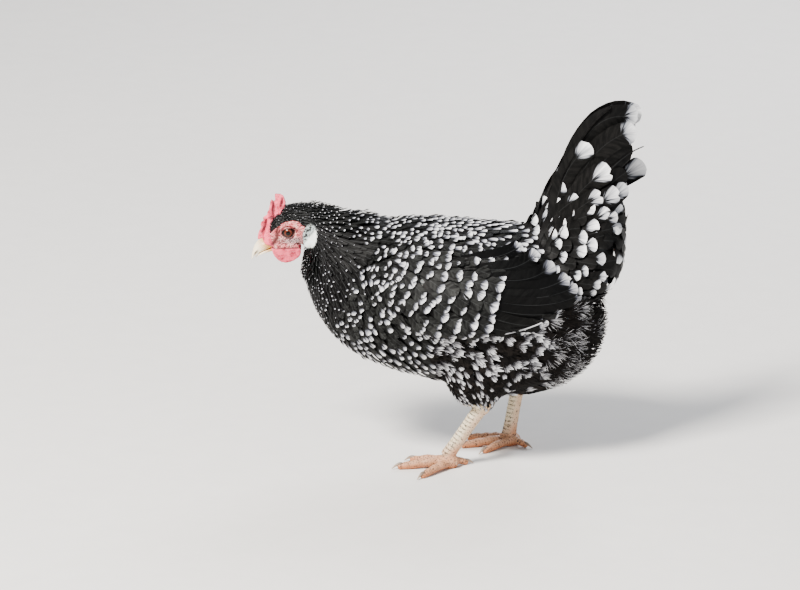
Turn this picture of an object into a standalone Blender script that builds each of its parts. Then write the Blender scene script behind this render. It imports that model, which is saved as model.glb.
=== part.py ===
"""A mottled black and white hen, standing still, life size.

The hen faces -X with its left side towards -Y, and stands on Z = 0. Every solid reaches out to the tips of
the plumage. The head, neck and trunk are one run of rings, parted by thin gaps; each other piece is its own
shape, cut back from its neighbours so that a thin gap stays all round. Lengths are in millimetres.
"""

import bisect
import math

import bmesh
import bpy
from mathutils import Vector

MM = 0.001
GAP = 0.35  # between two pieces that touch
SIDES = (("left", -1), ("right", 1))
ACROSS = Vector((0, 1, 0))

# The head's own frame lies between the eyes. It looks down by this many degrees, with -X along the beak.
HEAD_CENTRE = (-167.0, 0.0, 250.0)
HEAD_PITCH = 25.0
EYE_RADIUS = 6.3
EYE_SPREAD = 10.6  # from the middle of the head to an eye's centre
BEAK_ROOT, BEAK_TIP = -22.5, -48.5  # x in the head's frame; the root lies inside the face
CULMEN_HEIGHT = 4.2  # of the beak's ridge at its root, over the middle of the eyes
BEAK_HOOK = 16.3  # how far the ridge drops from there to the tip
CHIN_HEIGHT = -13.6

COMB_POINTS = 5
COMB_FIRST, COMB_LAST = 6.0, 109.0  # degrees round the crown, from the beak backwards
COMB_PEAK = 10.0  # where the first point stands, in the same degrees
COMB_PITCH = 22.5  # from one point to the next
COMB_NOTCH = 6.0  # depth of the gaps between the points

TAIL_ROOT = Vector((105.0, 0.0, 214.0))
TAIL_TOP = Vector((185.9, 0.0, 378.8))
FAN_FROM = 78.0  # along the tail, where the coverts end and the main feathers stand clear
TAIL_CREST = 0.55  # how much narrower the tail's forward edge is than its middle

CUFF_LENGTH = 9.0  # how far the thigh's feathers reach down the shank from the hock
SHANK_WIDE, SHANK_THICK = 5.3, 6.9  # half sizes, across and fore and aft
ANKLE_HEIGHT = 12.5
PAD_HALF = (12.5, 9.5, 8.4)
PAD_HEIGHT = 5.6  # of the pad's middle; what would lie below the floor is flat
CLAW_HEIGHT = 4.0  # of a claw's point over the floor

# Rings of the body from the beak's root to the vent: x, z, lean of the ring's top towards the tail in
# degrees, half height, half width, and how much wider (or narrower) the ring is above its middle.
BODY = {
    "snout": (-190.7, 234.6, -25, 8.5, 7.6, 0.00),
    "lores": (-186.0, 239.3, -25, 13.0, 10.2, 0.00),
    "brow": (-178.5, 246.3, -25, 17.8, 13.2, 0.00),
    "eyes": (-168.0, 252.3, -25, 21.5, 15.6, 0.00),
    "crown": (-157.0, 256.0, -22, 22.8, 17.6, -0.04),
    "nape": (-143.0, 251.0, 4, 27.0, 22.5, -0.10),
    "throat": (-129.2, 235.0, 31, 39.0, 32.0, -0.12),
    "hackle": (-108.6, 212.0, 27, 60.0, 46.0, -0.08),
    "shoulder": (-79.0, 188.5, 16, 74.0, 62.0, 0.04),
    "breast": (-39.9, 178.8, 3, 83.3, 74.0, 0.08),
    "back": (2.1, 172.9, 0, 88.0, 79.0, 0.04),
    "belly": (49.4, 163.6, 0, 93.0, 79.0, -0.02),
    "rump": (96.6, 163.0, -2, 87.0, 69.0, -0.05),
    "fluff": (133.4, 158.4, -2, 65.0, 52.0, -0.04),
    "vent": (155.5, 152.5, 0, 37.0, 30.0, 0.00),
    "end": (167.0, 150.5, 0, 0.0, 0.0, 0.00),
}
BODY_SIDES = 24
HEAD_ENDS, NECK_ENDS = 5.0, 7.45  # as places along the rings above
TRUNK_ENDS = 14.9  # the last ring, just before the point that closes the trunk

# The folded wing: x, middle height, half height, and how far it stands proud of the trunk.
WING = (
    (-86, 213, 6, 0.5),
    (-74, 212, 23, 4.0),
    (-48, 207, 40, 8.0),
    (-12, 203, 49, 10.0),
    (28, 201, 47, 11.0),
    (62, 199, 40, 10.0),
    (90, 198, 31, 9.0),
    (114, 196, 21, 8.0),
    (131, 194, 11, 6.5),
    (139, 192, 4, 5.0),
)
WING_DEPTH = 9.0  # how far the wing's root is let into the trunk before it is cut back
WING_FREE = 38.0  # half the width between the free wing tips

# The tail along its own axis: place, forward edge, rear edge and half width, all from the axis.
TAIL = (
    (-44, -24, 26, 22),
    (-22, -42, 52, 36),
    (2, -45, 70, 44),
    (24, -42, 71.5, 43),
    (48, -38, 66, 38),
    (76, -35.5, 52, 31),
    (106, -36, 42, 25),
    (138, -35, 32, 19),
    (164, -29, 21, 14),
    (184, -19, 15, 9),
    (194, -9, 8.5, 5),
)

# Each leg: the hock, the middle of the foot's pad, and how far each toe points outwards from straight ahead,
# in degrees. The left leg reaches forward and the right one pushes from behind.
LEGS = {
    "left": {
        "hock": (38.5, -38.5, 72.0),
        "pad": (-1.5, -37.0),
        "toes": {"hallux": -161, "inner": -17, "middle": 9, "outer": 50},
    },
    "right": {
        "hock": (77.5, 38.5, 80.0),
        "pad": (65.0, 37.0),
        "toes": {"hallux": -147, "inner": -43, "middle": -15, "outer": 14},
    },
}
# Each toe: joints, length of the fleshy part, sideways start, height of its root, half thickness, claw length
TOES = {
    "hallux": (1, 21.0, 0.0, 5.0, 3.8, 9.0),
    "inner": (2, 36.0, -5.4, 1.8, 4.1, 9.0),
    "middle": (3, 49.0, 0.0, 1.8, 4.5, 10.0),
    "outer": (4, 40.0, 5.4, 1.8, 4.1, 9.0),
}

# Base colour and roughness of each material.
FINISHES = {
    "mottled_plumage": ((0.03, 0.03, 0.032), 0.6),
    "red_skin": ((0.68, 0.17, 0.16), 0.5),
    "white_lobe": ((0.85, 0.86, 0.82), 0.55),
    "pale_horn": ((0.86, 0.72, 0.5), 0.35),
    "amber_eye": ((0.42, 0.12, 0.03), 0.1),
    "scaly_leg": ((0.82, 0.68, 0.52), 0.5),
}


def clear_scene():
    for old in list(bpy.data.objects):
        bpy.data.objects.remove(old, do_unlink=True)


def finish(name):
    """The material of this name, made when it is first asked for."""
    made = bpy.data.materials.get(name)
    if made is None:
        colour, roughness = FINISHES[name]
        made = bpy.data.materials.new(name)
        made.use_nodes = True
        shader = made.node_tree.nodes["Principled BSDF"]
        shader.inputs["Base Color"].default_value = (*colour, 1.0)
        shader.inputs["Roughness"].default_value = roughness
        shader.inputs["Metallic"].default_value = 0.0
    return made


def empty(name, parent=None, location=(0, 0, 0), rotation=(0, 0, 0)):
    made = bpy.data.objects.new(name, None)
    bpy.context.scene.collection.objects.link(made)
    made.parent = parent
    made.location = Vector(location) * MM
    made.rotation_euler = rotation
    return made


def piece(name, bm, finish_name, parent, location=(0, 0, 0), rotation=(0, 0, 0)):
    """Turns a bmesh in millimetres into a smooth-shaded object."""
    bmesh.ops.triangulate(bm, faces=[f for f in bm.faces if len(f.verts) == 4])
    bmesh.ops.recalc_face_normals(bm, faces=bm.faces)
    bmesh.ops.scale(bm, vec=(MM, MM, MM), verts=bm.verts)
    mesh = bpy.data.meshes.new(name)
    bm.to_mesh(mesh)
    bm.free()
    mesh.shade_smooth()
    mesh.set_sharp_from_angle(angle=math.radians(50))
    mesh.materials.append(finish(finish_name))
    made = bpy.data.objects.new(name, mesh)
    bpy.context.scene.collection.objects.link(made)
    made.parent = parent
    made.location = Vector(location) * MM
    made.rotation_euler = rotation
    return made


def skin_rings(rings, start=None, end=None):
    """One closed bmesh through rings of points. Each end closes flat, or on the point given for it."""
    bm = bmesh.new()
    loops = [[bm.verts.new(p) for p in ring] for ring in rings]
    count = len(rings[0])
    for low, high in zip(loops, loops[1:]):
        for j in range(count):
            k = (j + 1) % count
            bm.faces.new((low[j], low[k], high[k], high[j]))
    for loop, point in ((loops[0][::-1], start), (loops[-1], end)):
        if point is None:
            bm.faces.new(loop)
            continue
        tip = bm.verts.new(point)
        for j in range(count):
            bm.faces.new((tip, loop[j], loop[(j + 1) % count]))
    return bm


def ball(radius, across, around, half_sizes=(1, 1, 1)):
    """A ball squashed to half_sizes, with its poles along the last of them."""
    bm = bmesh.new()
    bmesh.ops.create_uvsphere(bm, u_segments=around, v_segments=across, radius=radius)
    bmesh.ops.scale(bm, vec=half_sizes, verts=bm.verts)
    return bm


def oval(centre, across, up, half_across, half_up, sides, swell=0.0):
    """A ring of points; swell widens its upper half."""
    ring = []
    for k in range(sides):
        angle = math.tau * k / sides
        c, s = math.cos(angle), math.sin(angle)
        ring.append(centre + across * (half_across * s * (1 + swell * c)) + up * (half_up * c))
    return ring


def tube(stations, sides, ends=(None, None), first_way=None, last_way=None):
    """A closed tube along stations of (centre, half width, half height); its end rings can face a given way."""
    centres = [Vector(s[0]) for s in stations]
    rings = []
    for i, (centre, wide, high) in enumerate(stations):
        along = centres[min(i + 1, len(centres) - 1)] - centres[max(i - 1, 0)]
        if i == 0 and first_way:
            along = first_way
        if i == len(centres) - 1 and last_way:
            along = last_way
        along = along.normalized()
        up = Vector((0, 0, 1)) if abs(along.z) < 0.75 else Vector((-1, 0, 0))
        across = along.cross(up).normalized()
        rings.append(oval(Vector(centre), across, across.cross(along), wide, high, sides))
    return skin_rings(rings, *ends)


def flatten_below(bm, height):
    """Gives a bmesh a flat sole at this height."""
    for vert in bm.verts:
        vert.co.z = max(vert.co.z, height)


def smooth_between(rows, places, at):
    """The row at this place, on a smooth curve through all rows."""
    at = min(max(at, places[0]), places[-1])
    i = min(max(bisect.bisect_right(places, at) - 1, 0), len(places) - 2)

    def slope(k):
        a, b = max(k - 1, 0), min(k + 1, len(places) - 1)
        return [(q - p) / (places[b] - places[a]) for p, q in zip(rows[a], rows[b])]

    span = places[i + 1] - places[i]
    t = (at - places[i]) / span
    weights = (
        2 * t**3 - 3 * t**2 + 1,
        (t**3 - 2 * t**2 + t) * span,
        3 * t**2 - 2 * t**3,
        (t**3 - t**2) * span,
    )
    columns = zip(rows[i], slope(i), rows[i + 1], slope(i + 1))
    return [sum(w * c for w, c in zip(weights, column)) for column in columns]


def grown(source):
    """A hidden cutter: the piece as first modelled, with its surface moved out by the gap."""
    name = f"cut_{source.name}"
    if name in bpy.data.objects:
        return bpy.data.objects[name]
    mesh = source.data.copy()
    for vertex, normal in zip(mesh.vertices, [n.vector.copy() for n in source.data.vertex_normals]):
        vertex.co += normal * GAP * MM
    cutter = bpy.data.objects.new(name, mesh)
    bpy.context.scene.collection.objects.link(cutter)
    cutter.parent = source.parent
    cutter.location = source.location
    cutter.rotation_euler = source.rotation_euler
    cutter.hide_render = True
    cutter.display_type = "WIRE"
    return cutter


def cut_back(target, *others):
    """Takes each of the others, and a thin gap round it, out of the target."""
    for other in others:
        cut = target.modifiers.new(f"clear_of_{other.name}", "BOOLEAN")
        cut.operation = "DIFFERENCE"
        cut.solver = "EXACT"
        cut.object = grown(other)


def body_ring(at, shift=0.0):
    """The ring at this place along BODY, moved on towards the tail by shift."""
    rows = list(BODY.values())
    x, z, lean, high, wide, swell = smooth_between(rows, list(range(len(rows))), at)
    lean = math.radians(lean)
    up = Vector((math.sin(lean), 0, math.cos(lean)))
    along = Vector((up.z, 0, -up.x))
    return oval(Vector((x, 0, z)) + along * shift, ACROSS, up, wide, high, BODY_SIDES, swell)


def body_run(name, hen, first, last, step, end=None):
    """A length of the body; the gap at its front parts it from the length before."""
    count = round((last - first) / step)
    places = [first + (last - first) * i / count for i in range(count + 1)]
    rings = [body_ring(at, GAP if i == 0 and first > 0 else 0.0) for i, at in enumerate(places)]
    return piece(name, skin_rings(rings, None, end), "mottled_plumage", hen)


def make_body(hen):
    head = body_run("head", hen, 0.0, HEAD_ENDS, 0.5)
    neck = body_run("neck", hen, HEAD_ENDS, NECK_ENDS, 0.49)
    x, z = BODY["end"][:2]
    trunk = body_run("trunk", hen, NECK_ENDS, TRUNK_ENDS, 0.37, Vector((x, 0, z)))
    return head, neck, trunk


def trunk_half_width(x, z):
    """Half the trunk's width at this place, or a little where the place lies clear of it."""
    rows = sorted(row for row in BODY.values() if row[0] > BODY["throat"][0])
    mid, _, high, wide, swell = smooth_between([r[1:] for r in rows], [r[0] for r in rows], x)
    share = min(abs(z - mid) / max(high, 1.0), 0.97)
    above = share if z > mid else -share
    return wide * math.sqrt(1 - share * share) * (1 + swell * above)


def make_beak(skull, head):
    """In the head's frame, two horny halves that meet along the mouth, the upper one hooked over the lower."""

    def culmen(t):
        return CULMEN_HEIGHT - BEAK_HOOK * t**2.3

    def mouth(t):
        return -7.6 - 3.6 * t - 1.6 * t**4

    def chin(t):
        return CHIN_HEIGHT + 1.2 * t

    def lower_mouth(t):
        return mouth(t) - GAP - 0.1

    halves = {
        "beak_upper": (culmen, mouth, 8.2, BEAK_TIP),
        "beak_lower": (lower_mouth, chin, 6.6, BEAK_TIP + 4.5),
    }
    made = {}
    steps = 7
    for name, (top, bottom, width, tip) in halves.items():
        rings = []
        for i in range(steps):
            t = i / steps * 0.97
            centre = Vector((BEAK_ROOT + (tip - BEAK_ROOT) * t, 0, (top(t) + bottom(t)) / 2))
            wide = width * (1 - 0.55 * t) * math.sqrt(1 - t**2.4)
            rings.append(oval(centre, ACROSS, Vector((0, 0, 1)), wide, (top(t) - bottom(t)) / 2, 12))
        end = Vector((tip, 0, (top(0.99) + bottom(0.99)) / 2))
        made[name] = piece(name, skin_rings(rings, None, end), "pale_horn", skull)
        cut_back(made[name], head)
    return made["beak_lower"]


def make_eyes(skull, head):
    """Balls let into the head, showing as low domes."""
    for name, side in SIDES:
        place = (0, side * EYE_SPREAD, 0)
        eye = piece(f"eye_{name}", ball(EYE_RADIUS, 7, 12), "amber_eye", skull, place, (math.pi / 2, 0, 0))
        cut_back(head, eye)


def make_comb(skull, head):
    """A low single comb: an upright plate round the crown with a row of points and a slight wave."""
    rings = []
    steps = 34
    root, base = 12.0, Vector((2, 0, 4))
    for i in range(steps + 1):
        at = COMB_FIRST + (COMB_LAST - COMB_FIRST) * i / steps
        angle = math.radians(at)
        way = Vector((-math.cos(angle), 0, math.sin(angle)))
        wave = abs(math.cos(math.pi * (at - COMB_PEAK) / COMB_PITCH))
        top = 30.3 + 3.6 * ((at - 55) / 45) ** 2 - COMB_NOTCH * (1 - wave**0.75)
        top -= max(0.0, at - 103) * 0.9
        bend = 1.3 * math.sin(math.radians(at * 5.2))
        side = []
        for share, thick in ((0.0, 2.8), (0.7, 2.4), (0.97, 1.1)):
            reach = root + (top - root) * share
            side.append((reach, thick, bend * max(0.0, (reach - 18) / 14)))
        ring = [base + way * reach + ACROSS * (shift - thick) for reach, thick, shift in side]
        ring += [base + way * reach + ACROSS * (shift + thick) for reach, thick, shift in reversed(side)]
        rings.append(ring)
    comb = piece("comb", skin_rings(rings), "red_skin", skull)
    cut_back(comb, head)


def make_flaps(skull, head, neck, beak_lower):
    """The wattles under the beak and the pale lobes behind the ears: thin rounded flaps of skin."""
    for name, side in SIDES:
        wattle = piece(
            f"wattle_{name}",
            ball(1.0, 7, 12, (14.8, 2.6, 12.6)),
            "red_skin",
            skull,
            (-11.0, side * 8.8, -17.6),
            (math.radians(side * -7), math.radians(14 + HEAD_PITCH), 0),
        )
        lobe = piece(
            f"earlobe_{name}",
            ball(1.0, 7, 12, (8.4, 3.0, 13.0)),
            "white_lobe",
            skull,
            (20.5, side * 19.0, -11.5),
            (math.radians(side * 6), math.radians(-12 + HEAD_PITCH), 0),
        )
        cut_back(wattle, head, neck, beak_lower)
        cut_back(lobe, head, neck)


def make_wing(name, side, hen, trunk, neck):
    """A folded wing: a shell that stands a little proud of the flank and ends in a free tip."""
    rows = [row[1:] for row in WING]
    places = [row[0] for row in WING]
    steps = 16
    rings = []
    for i in range(steps + 1):
        x = places[0] + (places[-1] - places[0]) * i / steps
        middle, high, proud = smooth_between(rows, places, x)
        depth = WING_DEPTH if x < 100 else max(0.6, WING_DEPTH * (1 - (x - 100) / 26))

        def point(share, out):
            z = middle + high * share
            flank = max(trunk_half_width(x, z), WING_FREE * (1 - abs(share) * 0.25))
            return Vector((x, side * (flank + out), z))

        def rise(share):
            return proud * min(1.0, (1.0 - share) / 0.8) ** 0.6 * min(1.0, (1.0 + share) / 0.16) ** 0.5

        outer = [point(share, rise(share)) for share in (1.0, 0.9, 0.65, 0.35, 0.0, -0.35, -0.65, -0.86, -1.0)]
        inner = [point(share, -depth) for share in (-0.75, 0.0, 0.75)]
        rings.append(outer + inner)
    wing = piece(f"wing_{name}", skin_rings(rings), "mottled_plumage", hen)
    cut_back(wing, trunk, neck)
    return wing


def make_tail(hen, trunk, wings):
    """A tall folded tail: full coverts round its root, then the fan, narrow in front and wide behind."""
    axis = (TAIL_TOP - TAIL_ROOT).normalized()
    rearward = Vector((axis.z, 0, -axis.x))
    rows = [row[1:] for row in TAIL]
    places = [row[0] for row in TAIL]

    def run(name, first, last, steps, gap, end):
        rings = []
        for i in range(steps + 1):
            at = first + (last - first) * i / steps
            front, rear, wide = smooth_between(rows, places, at)
            centre = TAIL_ROOT + axis * (at + (gap if i == 0 else 0)) + rearward * (front + rear) / 2
            rings.append(oval(centre, ACROSS, -rearward, wide, (rear - front) / 2, 18, -TAIL_CREST))
        return piece(name, skin_rings(rings, None, end), "mottled_plumage", hen)

    coverts = run("tail_coverts", places[0], FAN_FROM, 8, 0.0, None)
    run("tail_fan", FAN_FROM, places[-1], 9, GAP, TAIL_ROOT + axis * (places[-1] + 3.5))
    cut_back(coverts, trunk, *wings)


def make_leg(name, side, hen, trunk, wing):
    leg = LEGS[name]
    hock = Vector(leg["hock"])
    pad_x, pad_y = leg["pad"]
    ankle = Vector((pad_x + 1.0, pad_y, ANKLE_HEIGHT))
    way = (ankle - hock).normalized()
    cuff = hock + way * CUFF_LENGTH

    hip = Vector((48, side * 44, 150))
    knee = Vector((hock.x - 4, side * 43, hock.z + 30))
    thigh_rows = (
        (hip, 22, 26),
        (hip.lerp(knee, 0.5), 28, 42),
        (knee, 25, 42),
        (hock + Vector((-8, side * 3, 16)), 18, 31),
        (hock + Vector((-6, side * 1, 3)), 12.5, 21),
        (cuff, 8.0, 9.0),
    )
    thigh = piece(f"thigh_{name}", tube(thigh_rows, 18, last_way=way), "mottled_plumage", hen)
    cut_back(thigh, trunk, wing)

    shank_rows = (
        (cuff + way * GAP, 6.4, 8.0),
        (cuff + way * 8, 5.5, 7.2),
        (cuff.lerp(ankle, 0.4), SHANK_WIDE, SHANK_THICK),
        (cuff.lerp(ankle, 0.75), SHANK_WIDE, SHANK_THICK),
        (ankle, 6.4, 7.6),
    )
    shank = piece(f"shank_{name}", tube(shank_rows, 12, first_way=way), "scaly_leg", hen)

    pad_bm = ball(1.0, 7, 12, PAD_HALF)
    flatten_below(pad_bm, -PAD_HEIGHT)
    pad = piece(f"pad_{name}", pad_bm, "scaly_leg", hen, (pad_x + 1.0, pad_y, PAD_HEIGHT))
    cut_back(pad, shank)
    make_toes(name, side, hen, pad, shank)


def make_toes(leg, side, hen, pad, shank):
    """Each toe lies along -X of its own frame, turned about the upright to its heading."""
    pad_x, pad_y = LEGS[leg]["pad"]
    headings = LEGS[leg]["toes"]
    facing = math.radians(headings["middle"])
    sideways = Vector((math.sin(facing), side * math.cos(facing), 0))
    made = {}
    for toe, (joints, length, aside, raised, thick, claw_length) in TOES.items():
        rows = []
        steps = 5 if toe == "hallux" else 9
        for i in range(steps):
            t = i / (steps - 1)
            half = thick * (1.12 - 0.3 * t) * (1.0 + 0.08 * math.cos(math.tau * joints * t))
            if i == steps - 1:
                half *= 0.7
            arch = 1.3 * math.sin(math.pi * t) * (1 - t) + raised * (1 - t)
            rows.append((Vector((-2 - length * t, 0, half * 0.86 + arch)), half, half))
        toe_bm = tube(rows, 10, (None, Vector((-3.8 - length, 0, thick * 0.62))))
        flatten_below(toe_bm, 0.0)
        root = Vector((pad_x, pad_y, 0)) + sideways * aside
        heading = (0, 0, -side * math.radians(headings[toe]))
        made[toe] = piece(f"toe_{leg}_{toe}", toe_bm, "scaly_leg", hen, root, heading)
        cut_back(made[toe], pad, shank)
        claw = piece(f"claw_{leg}_{toe}", claw_shape(length, thick, claw_length), "pale_horn", made[toe])
        cut_back(claw, made[toe])
    for toe in ("inner", "outer"):
        cut_back(made[toe], made["middle"])


def claw_shape(length, thick, claw_length):
    """A curved horn cone that leaves the top of the toe's end and bends down to a blunt point."""
    rows = []
    steps = 5
    start, tip = -1.2 - (length - 4), -2 - length - claw_length
    for i in range(steps):
        t = i / steps
        half = 2.3 * (1 - t) ** 0.75
        height = thick * 1.15 + 1.9 * math.sin(math.pi * min(t + 0.12, 1)) - (thick * 1.15 - CLAW_HEIGHT) * t**2
        rows.append((Vector((start + (tip - start) * t, 0, height)), half * 0.85, half))
    return tube(rows, 8, (None, Vector((tip, 0, CLAW_HEIGHT))))


def stand_on_origin(hen):
    """Moves the hen so that the box round it stands centred on the origin."""
    bpy.context.view_layer.update()
    graph = bpy.context.evaluated_depsgraph_get()
    shown = [o for o in bpy.data.objects if o.type == "MESH" and not o.hide_render]
    corners = [o.matrix_world @ v.co for o in shown for v in o.evaluated_get(graph).data.vertices]
    low = [min(c[i] for c in corners) for i in range(3)]
    high = [max(c[i] for c in corners) for i in range(3)]
    hen.location = (-(low[0] + high[0]) / 2, -(low[1] + high[1]) / 2, -low[2])


def build():
    clear_scene()
    hen = empty("hen")
    skull = empty("skull", hen, HEAD_CENTRE, (0, math.radians(-HEAD_PITCH), 0))
    bpy.context.view_layer.update()
    head, neck, trunk = make_body(hen)
    beak_lower = make_beak(skull, head)
    make_eyes(skull, head)
    make_comb(skull, head)
    make_flaps(skull, head, neck, beak_lower)
    wings = [make_wing(name, side, hen, trunk, neck) for name, side in SIDES]
    make_tail(hen, trunk, wings)
    for (name, side), wing in zip(SIDES, wings):
        make_leg(name, side, hen, trunk, wing)
    stand_on_origin(hen)


build()
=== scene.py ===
import functools
import itertools
import math

import bmesh
import bpy
import numpy as np
from mathutils import Euler, Matrix, Vector
from mathutils.bvhtree import BVHTree
from mathutils.kdtree import KDTree


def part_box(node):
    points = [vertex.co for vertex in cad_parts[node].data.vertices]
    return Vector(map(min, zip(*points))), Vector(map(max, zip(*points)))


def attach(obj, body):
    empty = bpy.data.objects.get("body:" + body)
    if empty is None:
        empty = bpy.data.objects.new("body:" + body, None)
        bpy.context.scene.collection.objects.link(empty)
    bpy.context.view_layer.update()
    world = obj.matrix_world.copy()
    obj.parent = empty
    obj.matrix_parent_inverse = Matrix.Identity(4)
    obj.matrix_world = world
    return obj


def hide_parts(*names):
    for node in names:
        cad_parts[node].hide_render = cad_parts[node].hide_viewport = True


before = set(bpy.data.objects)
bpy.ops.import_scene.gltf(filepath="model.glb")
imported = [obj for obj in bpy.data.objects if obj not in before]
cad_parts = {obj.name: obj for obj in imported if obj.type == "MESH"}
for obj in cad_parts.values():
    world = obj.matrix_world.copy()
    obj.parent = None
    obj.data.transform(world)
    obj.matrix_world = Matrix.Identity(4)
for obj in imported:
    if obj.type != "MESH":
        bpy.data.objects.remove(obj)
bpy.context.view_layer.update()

# A mottled hen: one skin, with its feathers laid over it as small vanes.
# All shaping is done in the hen's own millimetres: x towards the tail, left side towards -y, z up.

mm = 0.001
trunkEnd = 167.0  # the trunk's rear end on the hen's own x
toModel = np.array([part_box("trunk")[1][0] / mm - trunkEnd, 0, 0])  # from the hen's places to the frame's
sides = {"left": -1, "right": 1}
cellSteps = list(itertools.product((-1, 0, 1), repeat=3))


def linear(hexColour):  # sRGB hex to the linear values that a shader takes
    parts = [int(hexColour[i:i + 2], 16) / 255 for i in (1, 3, 5)]
    return (*[c / 12.92 if c <= 0.04045 else ((c + 0.055) / 1.055) ** 2.4 for c in parts], 1.0)


def unit(vectors):
    return vectors / np.maximum(np.linalg.norm(vectors, axis=-1, keepdims=True), 1e-9)


def ease(low, high, value):  # 0 below low, 1 above high, smooth between
    t = np.clip((value - low) / (high - low), 0, 1)
    return t * t * (3 - 2 * t)


def segmentAway(x, z, start, end):  # share of the way along a segment, and the distance from it
    (ax, az), (bx, bz) = start, end
    t = np.clip(((x - ax) * (bx - ax) + (z - az) * (bz - az)) / ((bx - ax) ** 2 + (bz - az) ** 2), 0, 1)
    return t, np.hypot(x - ax - t * (bx - ax), z - az - t * (bz - az))


def cellNumbers(cell, third, seed):  # one fixed random whole number for each lattice cell
    mixed = (cell[:, 0] * 374761393 + cell[:, 1] * 668265263 + cell[:, 2] * third + seed) & 0x7FFFFFFF
    return ((mixed ^ (mixed >> 13)) * 1274126177) & 0x7FFFFFFF


def lumps(points, size, seed=0):  # smooth noise from -1 to 1 with lumps of this size
    scaled = np.asarray(points, dtype=float) / size + seed * 17.31
    cell = np.floor(scaled).astype(np.int64)
    t = scaled - cell
    t = t * t * (3 - 2 * t)
    total = np.zeros(len(scaled))
    for corner in range(8):
        step = np.array([corner & 1, corner >> 1 & 1, corner >> 2 & 1])
        number = cellNumbers(cell + step, 2147483647, seed * 97)
        value = ((number ^ (number >> 16)) & 0xFFFF) / 32767.5 - 1
        total += value * np.prod(np.where(step == 1, t, 1 - t), axis=1)
    return total


def papillae(points, size, seed):  # rounded grains set close together, 0 to 1
    scaled = points / size
    cell = np.floor(scaled).astype(np.int64)
    best = np.full(len(points), 9.0)
    for step in cellSteps:
        number = cellNumbers(cell + step, 1442695041, seed * 7919)
        middle = [(((number ^ (number >> 11)) * m >> 9) & 1023) / 1023 for m in (7919, 104729, 1299709)]
        best = np.minimum(best, np.linalg.norm(scaled - cell - step - np.stack(middle, axis=1), axis=1))
    return np.clip(1 - best / 0.75, 0, 1)


def insideOutline(x, z, outline):  # distance inside a closed outline, negative outside it
    corners = np.array(outline, dtype=float)
    best = np.full(len(x), 1e9)
    crossings = np.zeros(len(x), dtype=int)
    for (ax, az), (bx, bz) in zip(corners, np.roll(corners, -1, axis=0)):
        best = np.minimum(best, segmentAway(x, z, (ax, az), (bx, bz))[1])
        over = (az > z) != (bz > z)
        slope = np.where(over, (bx - ax) / np.where(bz == az, 1e-9, bz - az), 0)
        crossings += over & (x < ax + slope * (z - az))
    return np.where(crossings % 2 == 1, best, -best)


def addNode(tree, kind, *values, links=None, **settings):
    # A shader node with its settings. The values go to the sockets in use, in order, and links go by name.
    node = tree.nodes.new("ShaderNode" + kind)
    if kind == "Mix":
        node.data_type = "RGBA"
    for key, value in settings.items():
        setattr(node, key, value)
    given = list(zip([socket for socket in node.inputs if socket.enabled], values))
    for socket, value in given + [(node.inputs[key], value) for key, value in (links or {}).items()]:
        if isinstance(value, bpy.types.Node):  # a node stands for its first output in use
            value = next(output for output in value.outputs if output.enabled)
        if isinstance(value, bpy.types.NodeSocket):
            tree.links.new(value, socket)
        else:
            socket.default_value = linear(value) if isinstance(value, str) else value
    return node


def emptyMaterial(name):  # a material without nodes, and addNode for its own tree
    made = bpy.data.materials.new(name)
    made.use_nodes = True
    made.node_tree.nodes.clear()
    return made, functools.partial(addNode, made.node_tree)


def linkObject(name, data):
    made = bpy.data.objects.new(name, data)
    bpy.context.scene.collection.objects.link(made)
    return made


def formObject(name, shape):  # an object from a shape given in model metres
    mesh = bpy.data.meshes.new(name)
    shape.to_mesh(mesh)
    shape.free()
    return linkObject(name, mesh)


def meshObject(name, points, faces, material):  # points in the hen's own millimetres
    mesh = bpy.data.meshes.new(name)
    faces = np.asarray(faces)
    mesh.vertices.add(len(points))
    mesh.vertices.foreach_set("co", ((np.asarray(points) + toModel) * mm).astype(np.float32).ravel())
    mesh.loops.add(faces.size)
    mesh.loops.foreach_set("vertex_index", faces.astype(np.int32).ravel())
    mesh.polygons.add(len(faces))
    mesh.polygons.foreach_set("loop_start", np.arange(0, faces.size, faces.shape[1], dtype=np.int32))
    mesh.update(calc_edges=True)
    mesh.validate()
    mesh.shade_smooth()
    mesh.materials.append(material)
    return linkObject(name, mesh)


def meshArrays(obj):  # vertices in the hen's own millimetres, and triangles
    held = obj.evaluated_get(bpy.context.evaluated_depsgraph_get())
    mesh = held.to_mesh()
    mesh.calc_loop_triangles()
    points = np.empty(len(mesh.vertices) * 3, dtype=np.float32)
    mesh.vertices.foreach_get("co", points)
    triangles = np.empty(len(mesh.loop_triangles) * 3, dtype=np.int32)
    mesh.loop_triangles.foreach_get("vertices", triangles)
    held.to_mesh_clear()
    return points.reshape(-1, 3).astype(float) / mm - toModel, triangles.reshape(-1, 3)


def joinedForm(name, shapes, voxel):  # one even, closed mesh over many shapes, given in model metres
    whole = bmesh.new()
    for shape in shapes:
        part = bpy.data.meshes.new("part")
        shape.to_mesh(part)
        shape.free()
        whole.from_mesh(part)
        bpy.data.meshes.remove(part)
    made = formObject(name, whole)
    even = made.modifiers.new("even", "REMESH")
    even.mode = "VOXEL"
    even.voxel_size = voxel * mm
    return made


def nodeShape(node, grow):  # a CAD node's mesh, welded and moved out a little so that neighbours meet
    shape = bmesh.new()
    shape.from_mesh(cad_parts[node].data)
    bmesh.ops.remove_doubles(shape, verts=shape.verts, dist=1e-6)
    bmesh.ops.recalc_face_normals(shape, faces=shape.faces)
    shape.normal_update()
    for vertex in shape.verts:
        vertex.co += vertex.normal * grow * mm
    return shape


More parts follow.
